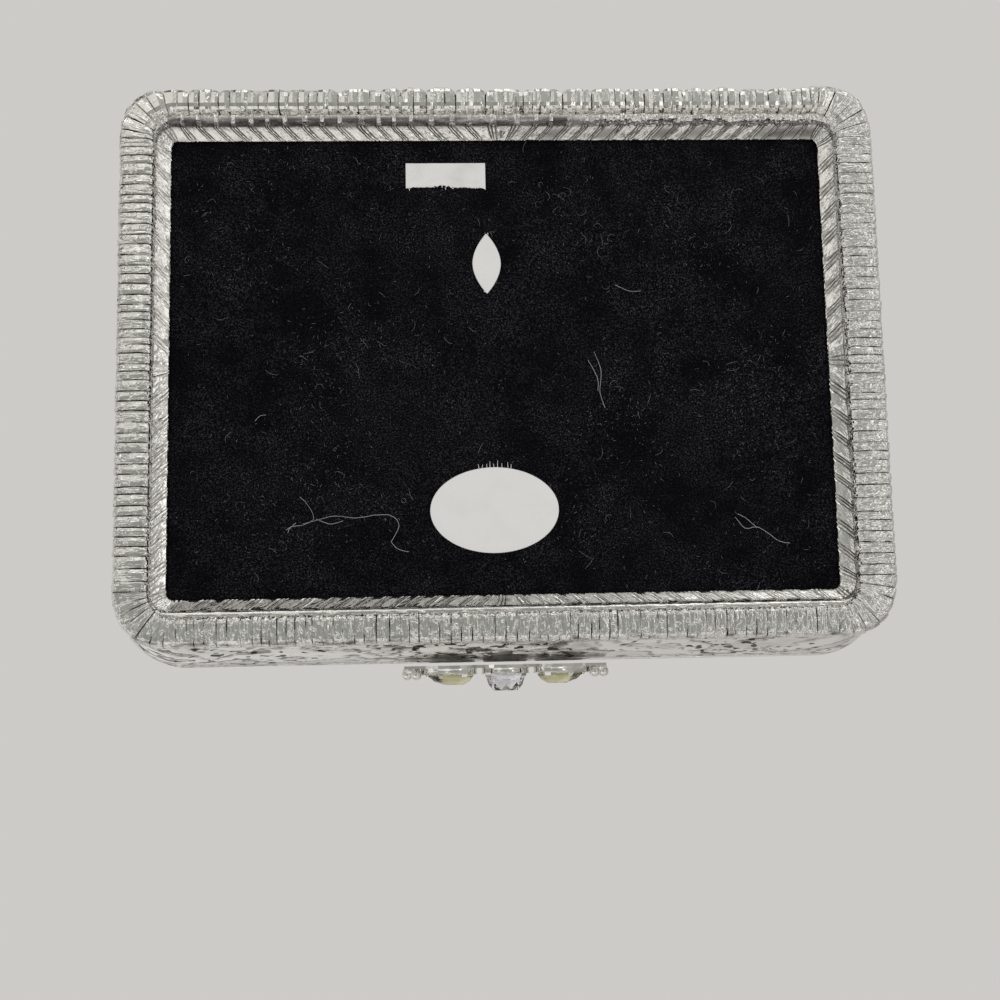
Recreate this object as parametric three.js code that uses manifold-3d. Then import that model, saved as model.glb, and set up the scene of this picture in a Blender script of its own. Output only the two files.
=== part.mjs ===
// A hinged rhinestone trinket box of silver-coloured metal, standing on its foot.
// Millimetres, +Z up, the front (with the stones) towards -Y, the hinges at the back.
// The middle of the box's overall footprint is the origin, and the foot stands on z = 0.
import * as THREE from 'three';
import { mergeVertices } from 'three/addons/utils/BufferGeometryUtils.js';
import { ConvexGeometry } from 'three/addons/geometries/ConvexGeometry.js';
import Module from 'manifold-3d';

const wasm = await Module();
wasm.setup();

// Driving dimensions: the foot's outline, which every wall follows at some distance.
const footLength = 90;
const footWidth = 66.6;
const footCornerRadius = 6.5;

// Clearances.
const seatGap = 0.3;
const pinClearance = 0.14;
const stoneClearance = 0.12;
const cutOverrun = 1;

// Gadrooned moulding that the box stands on.
const footHeight = 4.2;
const footRollWidth = 3.75;
const footRollMiddleHeight = 1.6;
const footRollBulge = 0.3;
const footCornerFill = 0.35;
const footRestInset = 1.75;
const footRestWidth = 0.6;
const footInnerLipHeight = 1;
const footTopInset = 0.45;
const gadroonPitch = 2.4;
const gadroonDepth = 0.4;

// Twisted-ribbon band that frames the pad under the box.
const ribbonInnerInset = 5.5;
const ribbonLipDrop = 0.95;
const ribbonLipWidth = 0.35;
const ribbonStepDrop = 1.75;
const ribbonEdgeThickness = 0.3;
const ribbonFlangeWidth = 0.5;
const ribbonPitch = 3;
const ribbonFluteDepth = 0.35;

// Covered pad in the recess under the box.
const padBoardThickness = 0.6;
const padVelvetThickness = 0.4;
const labelThickness = 0.15;
const ovalLabelLength = 15.2;
const ovalLabelWidth = 10.2;
const pointedLabelLength = 7.7;
const pointedLabelWidth = 3.3;
const tornLabelLength = 9.7;
const tornLabelWidth = 3.3;

// Body of the box.
const bodyFootInset = 0.4;
const bodyFlare = 1.95;
const flareHeight = 7.3;
const rimHeight = 12.5;
const rimBeadReach = 0.2;
const rimBeadHeight = 0.8;
const wallThickness = 1.5;
const floorThickness = 1.2;

// Lid.
const seamGap = 0.3;
const lidHeight = 12.7;
const lidShoulderInset = 4.6;
const lidTopThickness = 1.5;
const lidBorderPitch = 3.2;
const lidBorderWidth = 2.6;
const lidBorderHeight = 2.2;
const lidBorderInset = 0.3;
const lidBorderRestInset = 1.2;
const lidBorderRestWidth = 0.5;

// Velvet linings inside.
const liningThickness = 0.9;
const liningRimDrop = 0.5;
const trayPadThickness = 1.3;
const lidPadThickness = 1.4;

// Two hinges at the back.
const hingeSpacing = 52;
const knuckleRadius = 1.15;
const knuckleLength = 2.8;
const hingePinRadius = 0.5;
const pinHeadRadius = 0.85;
const pinHeadThickness = 0.4;
const leafThickness = 0.7;
const leafReach = 3.4;

// Rhinestone ornament, which is the lid's thumb lift.
const ornamentRimDrop = 1.7;
const ornamentPlateThickness = 0.4;
const settingGap = 0.51;
const beadGap = 0.17;
const ornamentBarWidth = 1.6;
const hangerWidth = 5;
const hangerReach = 5.2;
const cupDepth = 0.75;
const cupWall = 0.35;
const cupFloor = 0.3;
const centreStoneRadius = 2.45;
const centreTableRadius = 1.6;
const centreCrownHeight = 1.8;
const sideStoneLength = 5.5;
const sideStoneRadius = 2.1;
const sideCrownHeight = 1.6;
const stoneGirdle = 0.2;
const beadRadius = 0.68;
const beadSpacing = 1.1;
const beadDiscRadius = 0.9;

// Places of the labels, as shares of half the foot's length and width.
const ovalLabelShares = { x: 0.0267, y: -0.5315 };
const pointedLabelShares = { x: 0.0356, y: 0.3694 };
const tornLabelShares = { x: 0.1422, y: 0.6997 };

// Shares that shape the rhinestones, the bead clusters and the small rounds.
const kiteHeightShare = 0.62;
const pearShoulderShare = 0.8;
const pearShoulderHeightShare = 0.5;
const pearTableShare = 0.45;
const pearNarrowShare = 0.5;
const beadSpreadShare = 0.6;
const beadEndShare = 0.5;
const rimBeadChamferShare = 0.25;
const borderFootShare = 1 / 3;

// Steps of the faceted curves.
const cornerSteps = 6;
const wallSteps = 6;
const rollSteps = 3;
const borderSteps = 2;
const roundSegments = 24;
const pearSegments = 18;
const girdleSegments = 16;
const beadSegments = 10;

// Heights and places that follow from the sizes above.
const halfLength = footLength / 2;
const halfWidth = footWidth / 2;
const floorTop = footHeight + floorThickness;
const lidBottom = rimHeight + seamGap;
const lidTop = lidBottom + lidHeight;
const wallReach = bodyFlare + rimBeadReach;
const cavityRimOffset = bodyFlare - wallThickness;
const cavityFloorOffset = wallOffset(floorTop) - wallThickness;
const padVelvetBottom = footHeight - padBoardThickness - padVelvetThickness;
const hingeAxisY = halfWidth + wallReach + seatGap + knuckleRadius;
const hingeAxisZ = rimHeight + seamGap / 2;
const hingeWidth = 3 * knuckleLength + 2 * seatGap;
const plateBack = halfWidth + wallReach + seatGap;
const frontReach = plateBack + ornamentPlateThickness + cupDepth + stoneGirdle + centreCrownHeight;
const backReach = hingeAxisY + knuckleRadius;
const centreShift = (frontReach - backReach) / 2;
const ornamentHeight = rimHeight - ornamentRimDrop;
const cupMargin = stoneClearance + cupWall;
const cupRadius = centreStoneRadius + cupMargin;
const sideStoneX = cupRadius + settingGap + cupMargin + sideStoneLength / 2;
const sideSettingEnd = sideStoneX + sideStoneLength / 2 + 2 * cupMargin;
const beadDiscX = sideSettingEnd + beadGap + beadDiscRadius;
const ornamentHalfWidth = beadDiscX + beadSpacing / 2 + beadRadius * beadEndShare;

// The body flares from its foot to its rim along a quarter sine.
function wallOffset(height) {
  const climb = Math.min(1, Math.max(0, (height - footHeight) / flareHeight));
  return (bodyFlare + bodyFootInset) * Math.sin(climb * Math.PI / 2) - bodyFootInset;
}

// A station is a point of the rectangle through the corners' centres, and the outward normal there.
function cornerCentre(corner) {
  return {
    x: (corner === 0 || corner === 3 ? 1 : -1) * (halfLength - footCornerRadius),
    y: (corner < 2 ? 1 : -1) * (halfWidth - footCornerRadius),
  };
}

function stationBetween(from, to, share, quarterTurns) {
  const angle = quarterTurns * Math.PI / 2;
  return {
    x: from.x + (to.x - from.x) * share,
    y: from.y + (to.y - from.y) * share,
    normalX: Math.cos(angle),
    normalY: Math.sin(angle),
  };
}

// Stations at the corners only, anticlockwise from the right side.
function cornerStations(steps) {
  const stations = [];
  for (let corner = 0; corner < 4; corner += 1) {
    const centre = cornerCentre(corner);
    for (let step = 0; step <= steps; step += 1) {
      stations.push(stationBetween(centre, centre, 0, corner + step / steps));
    }
  }
  return stations;
}

// Two stations for each repeat of a pattern, with whole repeats on every side and corner.
function patternStations(pitch, offset) {
  const stations = [];
  const arc = (footCornerRadius + offset) * Math.PI / 2;
  const turnSteps = 2 * Math.max(2, Math.round(arc / pitch));
  for (let corner = 0; corner < 4; corner += 1) {
    const centre = cornerCentre(corner);
    const next = cornerCentre((corner + 1) % 4);
    for (let step = 0; step < turnSteps; step += 1) {
      stations.push(stationBetween(centre, centre, 0, corner + step / turnSteps));
    }
    const length = Math.hypot(next.x - centre.x, next.y - centre.y);
    const sideSteps = 2 * Math.round(length / pitch);
    for (let step = 0; step < sideSteps; step += 1) {
      stations.push(stationBetween(centre, next, step / sideSteps, corner + 1));
    }
  }
  return stations;
}

function pointAt(station, offset, height) {
  const reach = footCornerRadius + offset;
  return [station.x + station.normalX * reach, station.y + station.normalY * reach, height];
}

function geometryFrom(points, triangles) {
  const geometry = new THREE.BufferGeometry();
  geometry.setAttribute('position', new THREE.Float32BufferAttribute(points.flat(), 3));
  geometry.setIndex(triangles.flat());
  return geometry;
}

// A closed solid from levels { offset, height }, bottom first, with flat ends.
function loft(levels, stations = cornerStations(cornerSteps)) {
  const count = stations.length;
  const points = levels.flatMap(
    (level) => stations.map((station) => pointAt(station, level.offset, level.height)),
  );
  const triangles = [];
  for (let level = 0; level + 1 < levels.length; level += 1) {
    for (let index = 0; index < count; index += 1) {
      const next = (index + 1) % count;
      const low = level * count;
      const high = low + count;
      triangles.push([low + index, low + next, high + next], [low + index, high + next, high + index]);
    }
  }
  const top = (levels.length - 1) * count;
  for (let index = 1; index + 1 < count; index += 1) {
    triangles.push([0, index + 1, index], [top, top + index, top + index + 1]);
  }
  return geometryFrom(points, triangles);
}

// A closed ring swept round the outline; profileAt gives the section's points, anticlockwise
// when the outline's outside is on the right and up is up.
function sweepRing(stations, profileAt) {
  const profiles = stations.map((station, index) => profileAt(index));
  const size = profiles[0].length;
  const points = profiles.flatMap(
    (profile, index) => profile.map((spot) => pointAt(stations[index], spot.offset, spot.height)),
  );
  const triangles = [];
  for (let index = 0; index < stations.length; index += 1) {
    const here = index * size;
    const there = ((index + 1) % stations.length) * size;
    for (let spot = 0; spot < size; spot += 1) {
      const next = (spot + 1) % size;
      triangles.push(
        [here + spot, there + next, here + next],
        [here + spot, there + spot, there + next],
      );
    }
  }
  return geometryFrom(points, triangles);
}

function solidOf(geometry) {
  const bare = geometry.clone();
  bare.deleteAttribute('normal');
  bare.deleteAttribute('uv');
  const merged = mergeVertices(bare);
  return new wasm.Manifold(new wasm.Mesh({
    numProp: 3,
    vertProperties: new Float32Array(merged.attributes.position.array),
    triVerts: new Uint32Array(merged.index.array),
  }));
}

function geometryOf(solid) {
  const mesh = solid.getMesh();
  const geometry = new THREE.BufferGeometry();
  geometry.setAttribute('position', new THREE.BufferAttribute(mesh.vertProperties, 3));
  geometry.setIndex(new THREE.BufferAttribute(mesh.triVerts, 1));
  return geometry;
}

function union(solids) {
  return solids.reduce((whole, solid) => whole.add(solid));
}

// Finishes.
const silver = { color: 0xc9c6c0, roughness: 0.18, metalness: 1 };
const darkSilver = { color: 0xa9a6a0, roughness: 0.3, metalness: 1 };
const blackVelvet = { color: 0x0b0b10, roughness: 0.95, metalness: 0 };
const card = { color: 0x6f675c, roughness: 0.9, metalness: 0 };
const paper = { color: 0xe6e2d8, roughness: 0.85, metalness: 0 };
const clearStone = { color: 0xdfe0ea, roughness: 0.05, metalness: 0 };
const champagneStone = { color: 0xc9bf7e, roughness: 0.05, metalness: 0 };

const box = new THREE.Group();
box.position.y = centreShift;

function addPiece(parent, name, geometry, finish) {
  const mesh = new THREE.Mesh(geometry, new THREE.MeshStandardMaterial(finish));
  mesh.name = name;
  parent.add(mesh);
  return mesh;
}

// Points of a quarter ellipse, as shares of its two half axes.
function quarterArc(steps) {
  return Array.from({ length: steps + 1 }, (unused, step) => {
    const angle = step / steps * Math.PI / 2;
    return { out: 1 - Math.cos(angle), down: Math.sin(angle) };
  });
}

// Foot moulding: a low roll, pinched between its gadroons, with a flat crown to rest on.
// At the corners the roll's outside is fuller than the outline.
function footProfile(crest, station) {
  const pinch = crest ? 0 : gadroonDepth;
  const restEnd = footRestInset + footRestWidth;
  const fill = footCornerFill * (2 * station.normalX * station.normalY) ** 2;
  const reach = footRestInset + footRollBulge + fill;
  const outer = quarterArc(rollSteps).map((share, step, all) => ({
    offset: reach * (1 - share.out) - footRestInset - (step + 1 < all.length ? pinch : 0),
    height: footRollMiddleHeight * (1 - share.down),
  }));
  return [
    { offset: -footTopInset, height: footHeight },
    { offset: -footRollWidth, height: footHeight },
    { offset: -footRollWidth + pinch / 2, height: footInnerLipHeight },
    { offset: -restEnd, height: 0 },
    ...outer.reverse(),
  ];
}

const gadroonStations = patternStations(gadroonPitch, -footRestInset);
addPiece(
  box,
  'foot_moulding',
  sweepRing(gadroonStations, (index) => footProfile(index % 2 === 0, gadroonStations[index])),
  silver,
);

// Ribbon band: a narrow lip, a step, and a fluted slope down to the pad.
function ribbonProfile(outerCrest, innerCrest) {
  const lipInset = footRollWidth + seatGap;
  const lipEnd = lipInset + ribbonLipWidth;
  return [
    { offset: -lipInset, height: footHeight },
    { offset: -lipInset - ribbonFlangeWidth, height: footHeight },
    { offset: -lipInset - ribbonFlangeWidth, height: padVelvetBottom },
    { offset: -ribbonInnerInset, height: padVelvetBottom },
    { offset: -ribbonInnerInset, height: padVelvetBottom - ribbonEdgeThickness },
    { offset: -lipEnd, height: ribbonStepDrop + (innerCrest ? 0 : ribbonFluteDepth) },
    { offset: -lipEnd + ribbonLipWidth / 2, height: ribbonLipDrop + (outerCrest ? 0 : ribbonFluteDepth) },
    { offset: -lipInset, height: ribbonLipDrop + ribbonFluteDepth },
  ];
}

const ribbonStations = patternStations(ribbonPitch, -ribbonInnerInset);
addPiece(
  box,
  'ribbon_band',
  sweepRing(ribbonStations, (index) => ribbonProfile(index % 2 === 0, index % 2 === 1)),
  silver,
);

// Pad under the box: a card with black velvet on it, held by the ribbon band.
const padOffset = -(footRollWidth + seatGap + ribbonFlangeWidth + seatGap);
const padVelvetTop = padVelvetBottom + padVelvetThickness;
addPiece(box, 'pad_board', loft([
  { offset: padOffset, height: padVelvetTop },
  { offset: padOffset, height: footHeight },
]), card);
addPiece(box, 'pad_velvet', loft([
  { offset: padOffset, height: padVelvetBottom },
  { offset: padOffset, height: padVelvetTop },
]), blackVelvet);

// Bare paper labels lie face to face on the velvet.
function addLabel(name, shape, shares) {
  const geometry = new THREE.ExtrudeGeometry(shape, {
    depth: labelThickness,
    bevelEnabled: false,
    curveSegments: roundSegments / 2,
  });
  const label = addPiece(box, name, geometryOf(solidOf(geometry)), paper);
  label.position.set(shares.x * halfLength, shares.y * halfWidth, padVelvetBottom - labelThickness);
}

const ovalShape = new THREE.Shape();
ovalShape.absellipse(0, 0, ovalLabelLength / 2, ovalLabelWidth / 2, 0, 2 * Math.PI);
addLabel('oval_label', ovalShape, ovalLabelShares);

const pointedShape = new THREE.Shape();
pointedShape.moveTo(0, -pointedLabelLength / 2);
pointedShape.quadraticCurveTo(pointedLabelWidth, 0, 0, pointedLabelLength / 2);
pointedShape.quadraticCurveTo(-pointedLabelWidth, 0, 0, -pointedLabelLength / 2);
addLabel('pointed_label', pointedShape, pointedLabelShares);

const tornEdgeShares = [
  [-0.5, -0.5], [-0.44, -0.43], [-0.34, -0.47], [-0.2, -0.43], [-0.08, -0.42], [0.02, -0.36], [0.14, -0.38],
  [0.24, -0.42], [0.4, -0.43], [0.5, -0.46], [0.5, 0.5], [-0.5, 0.5],
];
const tornPoints = tornEdgeShares.map(
  ([along, across]) => new THREE.Vector2(along * tornLabelLength, across * tornLabelWidth),
);
const tornShape = new THREE.Shape(tornPoints);
addLabel('torn_label', tornShape, tornLabelShares);

// Body shell: flared walls on a flat floor, with a half-round bead at the rim.
const bodyLevels = [];
for (let step = 0; step <= wallSteps; step += 1) {
  const height = footHeight + flareHeight * step / wallSteps;
  bodyLevels.push({ offset: wallOffset(height), height });
}
bodyLevels.push(...beadLevels(rimHeight - rimBeadHeight));

function beadLevels(bottom) {
  return [
    { offset: bodyFlare, height: bottom },
    { offset: wallReach, height: bottom + rimBeadHeight * rimBeadChamferShare },
    { offset: wallReach, height: bottom + rimBeadHeight * (1 - rimBeadChamferShare) },
    { offset: bodyFlare, height: bottom + rimBeadHeight },
  ];
}

function cavityOffset(height) {
  const climb = (height - floorTop) / (rimHeight - floorTop);
  return cavityFloorOffset + (cavityRimOffset - cavityFloorOffset) * climb;
}

// Two levels of the tray's hollow, moved in by some thickness.
function trayLevels(bottom, top, thickness) {
  return [bottom, top].map((height) => ({ offset: cavityOffset(height) - thickness, height }));
}

const bodyCavity = loft(trayLevels(floorTop, rimHeight + cutOverrun, 0));
addPiece(box, 'body_shell', geometryOf(solidOf(loft(bodyLevels)).subtract(solidOf(bodyCavity))), silver);

// Tray linings: a velvet wall, and a padded velvet floor inside it.
const liningTop = rimHeight - liningRimDrop;
const liningInside = seatGap + liningThickness;
const trayWall = solidOf(loft(trayLevels(floorTop, liningTop, seatGap))).subtract(
  solidOf(loft(trayLevels(floorTop - cutOverrun, liningTop + cutOverrun, liningInside))),
);
addPiece(box, 'tray_wall_lining', geometryOf(trayWall), blackVelvet);
const trayPadOffset = cavityFloorOffset - liningInside - seatGap;
addPiece(box, 'tray_floor_pad', loft([
  { offset: trayPadOffset, height: floorTop },
  { offset: trayPadOffset, height: floorTop + trayPadThickness },
]), blackVelvet);

// Lid: the rim's bead again, then a shoulder that curves in to a flat top.
const lid = new THREE.Group();
box.add(lid);

function shoulderLevels(offset, bottom, inset, height) {
  return quarterArc(wallSteps).map((share) => ({
    offset: offset - inset * share.out,
    height: bottom + height * share.down,
  }));
}

const shoulderBottom = lidBottom + rimBeadHeight;
const lidCavityTop = lidTop - lidTopThickness;
const lidCavityInset = lidShoulderInset - lidTopThickness / 2;
const lidLevels = [
  ...beadLevels(lidBottom).slice(0, 3),
  ...shoulderLevels(bodyFlare, shoulderBottom, lidShoulderInset, lidTop - shoulderBottom),
];

function lidCavityLevels(thickness) {
  const levels = shoulderLevels(
    cavityRimOffset - thickness,
    lidBottom,
    lidCavityInset,
    lidCavityTop - thickness - lidBottom,
  );
  return [{ offset: cavityRimOffset - thickness, height: lidBottom - cutOverrun }, ...levels];
}

const lidShell = solidOf(loft(lidLevels)).subtract(solidOf(loft(lidCavityLevels(0))));
addPiece(lid, 'lid_shell', geometryOf(lidShell), silver);

// Gadrooned border that stands on the lid's flat top.
const lidBorderOffset = bodyFlare - lidShoulderInset - lidBorderInset;
const borderFootTop = lidTop + lidBorderHeight * borderFootShare;
function borderProfile(crest) {
  const pinch = crest ? 0 : gadroonDepth;
  const restEnd = lidBorderRestInset + lidBorderRestWidth;
  const outer = quarterArc(borderSteps).map((share, step, all) => ({
    offset: lidBorderOffset - lidBorderRestInset * share.out - (step + 1 < all.length ? pinch : 0),
    height: borderFootTop + (lidTop + lidBorderHeight - borderFootTop) * share.down,
  }));
  return [
    { offset: lidBorderOffset, height: lidTop },
    ...outer,
    { offset: lidBorderOffset - restEnd, height: lidTop + lidBorderHeight },
    { offset: lidBorderOffset - lidBorderWidth, height: borderFootTop },
    { offset: lidBorderOffset - lidBorderWidth, height: lidTop },
  ];
}

const borderStations = patternStations(lidBorderPitch, lidBorderOffset);
addPiece(lid, 'lid_border', sweepRing(borderStations, (index) => borderProfile(index % 2 === 0)), silver);

// Lid linings: a velvet wall that follows the shoulder, and a padded panel under the top.
const lidLiningFoot = lidBottom + liningRimDrop;
const lidLiningTop = lidCavityTop - lidPadThickness - seatGap;
const lidLiningSlab = solidOf(loft([
  { offset: cavityRimOffset, height: lidLiningFoot },
  { offset: cavityRimOffset, height: lidLiningTop },
]));
const lidWall = solidOf(loft(lidCavityLevels(seatGap))).intersect(lidLiningSlab).subtract(
  solidOf(loft(lidCavityLevels(liningInside))),
);
addPiece(lid, 'lid_wall_lining', geometryOf(lidWall), blackVelvet);
const lidPadOffset = cavityRimOffset - lidCavityInset - seatGap;
addPiece(lid, 'lid_pad', loft([
  { offset: lidPadOffset, height: lidCavityTop - lidPadThickness },
  { offset: lidPadOffset, height: lidCavityTop },
]), blackVelvet);

// Hinges: two knuckles on the body's leaf, one on the lid's, and a headed pin through them.
function knuckle(centreX) {
  const geometry = new THREE.CylinderGeometry(knuckleRadius, knuckleRadius, knuckleLength, roundSegments);
  geometry.rotateZ(Math.PI / 2);
  geometry.translate(centreX, hingeAxisY, hingeAxisZ);
  return solidOf(geometry);
}

function slab(lowX, highX, lowZ, highZ) {
  const geometry = new THREE.BoxGeometry(highX - lowX, leafThickness, highZ - lowZ);
  geometry.translate((lowX + highX) / 2, plateBack + leafThickness / 2, (lowZ + highZ) / 2);
  return solidOf(geometry);
}

// side is 1 for the lid's leaf, above the axis, and -1 for the body's, below it.
function hingeLeaf(hingeX, knuckleXs, side) {
  const plateNear = hingeAxisZ + side * (knuckleRadius + seatGap);
  const plateFar = hingeAxisZ + side * (knuckleRadius + seatGap + leafReach);
  const solids = [slab(
    hingeX - hingeWidth / 2,
    hingeX + hingeWidth / 2,
    Math.min(plateNear, plateFar),
    Math.max(plateNear, plateFar),
  )];
  for (const knuckleX of knuckleXs) {
    const low = Math.min(hingeAxisZ, plateNear);
    const high = Math.max(hingeAxisZ, plateNear);
    solids.push(slab(knuckleX - knuckleLength / 2, knuckleX + knuckleLength / 2, low, high));
    solids.push(knuckle(knuckleX));
  }
  const holeRadius = hingePinRadius + pinClearance;
  const hole = new THREE.CylinderGeometry(holeRadius, holeRadius, 2 * hingeWidth, roundSegments);
  hole.rotateZ(Math.PI / 2);
  hole.translate(hingeX, hingeAxisY, hingeAxisZ);
  return geometryOf(union(solids).subtract(solidOf(hole)));
}

function hingePin() {
  const half = hingeWidth / 2;
  const profile = [
    [0, -half - pinHeadThickness],
    [pinHeadRadius, -half - pinHeadThickness],
    [pinHeadRadius, -half],
    [hingePinRadius, -half],
    [hingePinRadius, half],
    [pinHeadRadius, half],
    [pinHeadRadius, half + pinHeadThickness],
    [0, half + pinHeadThickness],
  ].map(([radius, along]) => new THREE.Vector2(radius, along));
  const geometry = new THREE.LatheGeometry(profile, roundSegments);
  geometry.rotateZ(-Math.PI / 2);
  return geometryOf(solidOf(geometry));
}

for (const [sideName, hingeX] of [['left', -hingeSpacing / 2], ['right', hingeSpacing / 2]]) {
  const knuckleStep = knuckleLength + seatGap;
  const outerKnuckles = [hingeX - knuckleStep, hingeX + knuckleStep];
  addPiece(box, `${sideName}_hinge_body_leaf`, hingeLeaf(hingeX, outerKnuckles, -1), silver);
  addPiece(lid, `${sideName}_hinge_lid_leaf`, hingeLeaf(hingeX, [hingeX], 1), silver);
  const pin = addPiece(box, `${sideName}_hinge_pin`, hingePin(), darkSilver);
  pin.position.set(hingeX, hingeAxisY, hingeAxisZ);
}

// Ornament: built lying down, its stones facing +Z and its top towards +Y, then stood up.
const ornament = new THREE.Group();
ornament.position.set(0, -plateBack, ornamentHeight);
ornament.rotation.x = Math.PI / 2;
lid.add(ornament);

function extrudeFlat(shape, bottom, depth) {
  const geometry = new THREE.ExtrudeGeometry(shape, {
    depth,
    bevelEnabled: false,
    curveSegments: roundSegments / 2,
  });
  geometry.translate(0, 0, bottom);
  return solidOf(geometry);
}

function circleShape(x, y, radius) {
  const shape = new THREE.Shape();
  shape.absarc(x, y, radius, 0, 2 * Math.PI);
  return shape;
}

function rectangleShape(lowX, lowY, highX, highY) {
  return new THREE.Shape([
    new THREE.Vector2(lowX, lowY),
    new THREE.Vector2(highX, lowY),
    new THREE.Vector2(highX, highY),
    new THREE.Vector2(lowX, highY),
  ]);
}

// Pear outline, its round end towards the middle: side is -1 on the left and 1 on the right.
function pearPoints(side, margin) {
  const round = sideStoneRadius + margin;
  const tip = sideStoneLength - sideStoneRadius + 2 * margin;
  const roundX = sideStoneX - sideStoneLength / 2 + sideStoneRadius;
  return Array.from({ length: pearSegments }, (unused, index) => {
    const angle = index / pearSegments * 2 * Math.PI;
    const stretch = Math.cos(angle) > 0 ? tip : round;
    const narrow = Math.cos(angle) > 0 ? 1 - pearNarrowShare * Math.cos(angle) ** 2 : 1;
    return new THREE.Vector2(
      side * (roundX + stretch * Math.cos(angle)),
      side * round * narrow * Math.sin(angle),
    );
  });
}

const plateSolids = [
  extrudeFlat(circleShape(0, 0, cupRadius), 0, ornamentPlateThickness),
  extrudeFlat(
    rectangleShape(-ornamentHalfWidth, -ornamentBarWidth / 2, ornamentHalfWidth, ornamentBarWidth / 2),
    0,
    ornamentPlateThickness,
  ),
  extrudeFlat(rectangleShape(-hangerWidth / 2, 0, hangerWidth / 2, hangerReach), 0, ornamentPlateThickness),
];
for (const side of [-1, 1]) {
  plateSolids.push(extrudeFlat(new THREE.Shape(pearPoints(side, cupMargin)), 0, ornamentPlateThickness));
}
addPiece(ornament, 'ornament_plate', geometryOf(union(plateSolids)), silver);

const cupBottom = ornamentPlateThickness;
const pocketBottom = cupBottom + cupFloor;
const cupTop = cupBottom + cupDepth;
const pocketRadius = centreStoneRadius + stoneClearance;
const centrePocket = extrudeFlat(circleShape(0, 0, pocketRadius), pocketBottom, cupDepth);
addPiece(
  ornament,
  'centre_setting',
  geometryOf(extrudeFlat(circleShape(0, 0, cupRadius), cupBottom, cupDepth).subtract(centrePocket)),
  silver,
);

// A round stone: a table, a ring of kite facets, a girdle and a pointed pavilion.
function ringOfPoints(count, radius, height, turn) {
  return Array.from({ length: count }, (unused, index) => {
    const angle = (index + turn) / count * 2 * Math.PI;
    return new THREE.Vector3(radius * Math.cos(angle), radius * Math.sin(angle), height);
  });
}

const centreStone = new ConvexGeometry([
  ...ringOfPoints(girdleSegments / 2, centreTableRadius, cupTop + stoneGirdle + centreCrownHeight, 1 / 2),
  ...ringOfPoints(
    girdleSegments / 2,
    (centreTableRadius + centreStoneRadius) / 2,
    cupTop + stoneGirdle + centreCrownHeight * kiteHeightShare,
    0,
  ),
  ...ringOfPoints(girdleSegments, centreStoneRadius, cupTop + stoneGirdle, 0),
  ...ringOfPoints(girdleSegments, centreStoneRadius, cupTop, 0),
  new THREE.Vector3(0, 0, pocketBottom + stoneClearance),
]);
addPiece(ornament, 'centre_stone', geometryOf(solidOf(centreStone)), clearStone);

// A pear stone: its crown rises to a small table near the round end.
function pearStone(side) {
  const tableX = side * (sideStoneX - sideStoneLength / 2 + sideStoneRadius);
  const outline = pearPoints(side, 0);
  const ring = (share, height) => outline.map(
    (point) => new THREE.Vector3(tableX + (point.x - tableX) * share, point.y * share, height),
  );
  const girdleTop = cupTop + stoneGirdle;
  return new ConvexGeometry([
    ...ring(1, cupTop),
    ...ring(1, girdleTop),
    ...ring(pearShoulderShare, girdleTop + sideCrownHeight * pearShoulderHeightShare)
      .filter((point, index) => index % 2 === 0),
    ...ring(pearTableShare, girdleTop + sideCrownHeight).filter((point, index) => index % 2 === 1),
    new THREE.Vector3(tableX, 0, pocketBottom + stoneClearance),
  ]);
}

// Three beads in a triangle on a small disc, at each end of the ornament.
function beadCluster(side) {
  const endX = side * (beadDiscX + beadSpacing / 2);
  const innerX = side * (beadDiscX - beadSpacing / 2);
  const disc = extrudeFlat(circleShape(side * beadDiscX, 0, beadDiscRadius), cupBottom, beadRadius);
  const spread = beadSpacing * beadSpreadShare;
  const places = [[endX, 0], [innerX, spread], [innerX, -spread]];
  const beads = places.map(([x, y]) => {
    const ball = new THREE.SphereGeometry(beadRadius, beadSegments, beadSegments / 2);
    ball.translate(x, y, cupBottom + beadRadius);
    return solidOf(ball);
  });
  return geometryOf(union([disc, ...beads]));
}

for (const [sideName, side] of [['left', -1], ['right', 1]]) {
  const cup = extrudeFlat(new THREE.Shape(pearPoints(side, cupMargin)), cupBottom, cupDepth);
  const pocket = extrudeFlat(new THREE.Shape(pearPoints(side, stoneClearance)), pocketBottom, cupDepth);
  addPiece(ornament, `${sideName}_setting`, geometryOf(cup.subtract(pocket)), silver);
  addPiece(ornament, `${sideName}_stone`, geometryOf(solidOf(pearStone(side))), champagneStone);
  addPiece(ornament, `${sideName}_beads`, beadCluster(side), silver);
}

export default box;
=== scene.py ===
# %% [markdown]
# # A rhinestone trinket box, seen from below
#
# The real object is a low hinged box, cast in a white metal and plated silver. Its foot is a roll of
# narrow ribs, a twisted ribbon frames the black velvet pad underneath, and three rhinestones on the
# front edge of the lid are the thumb lift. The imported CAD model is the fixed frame: it gives every
# size and place, and this lesson builds the finished surfaces on it, piece by piece.

# %% Load the frame
import math

import bmesh
import bpy
import numpy as np
from mathutils import Matrix, Vector


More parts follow.
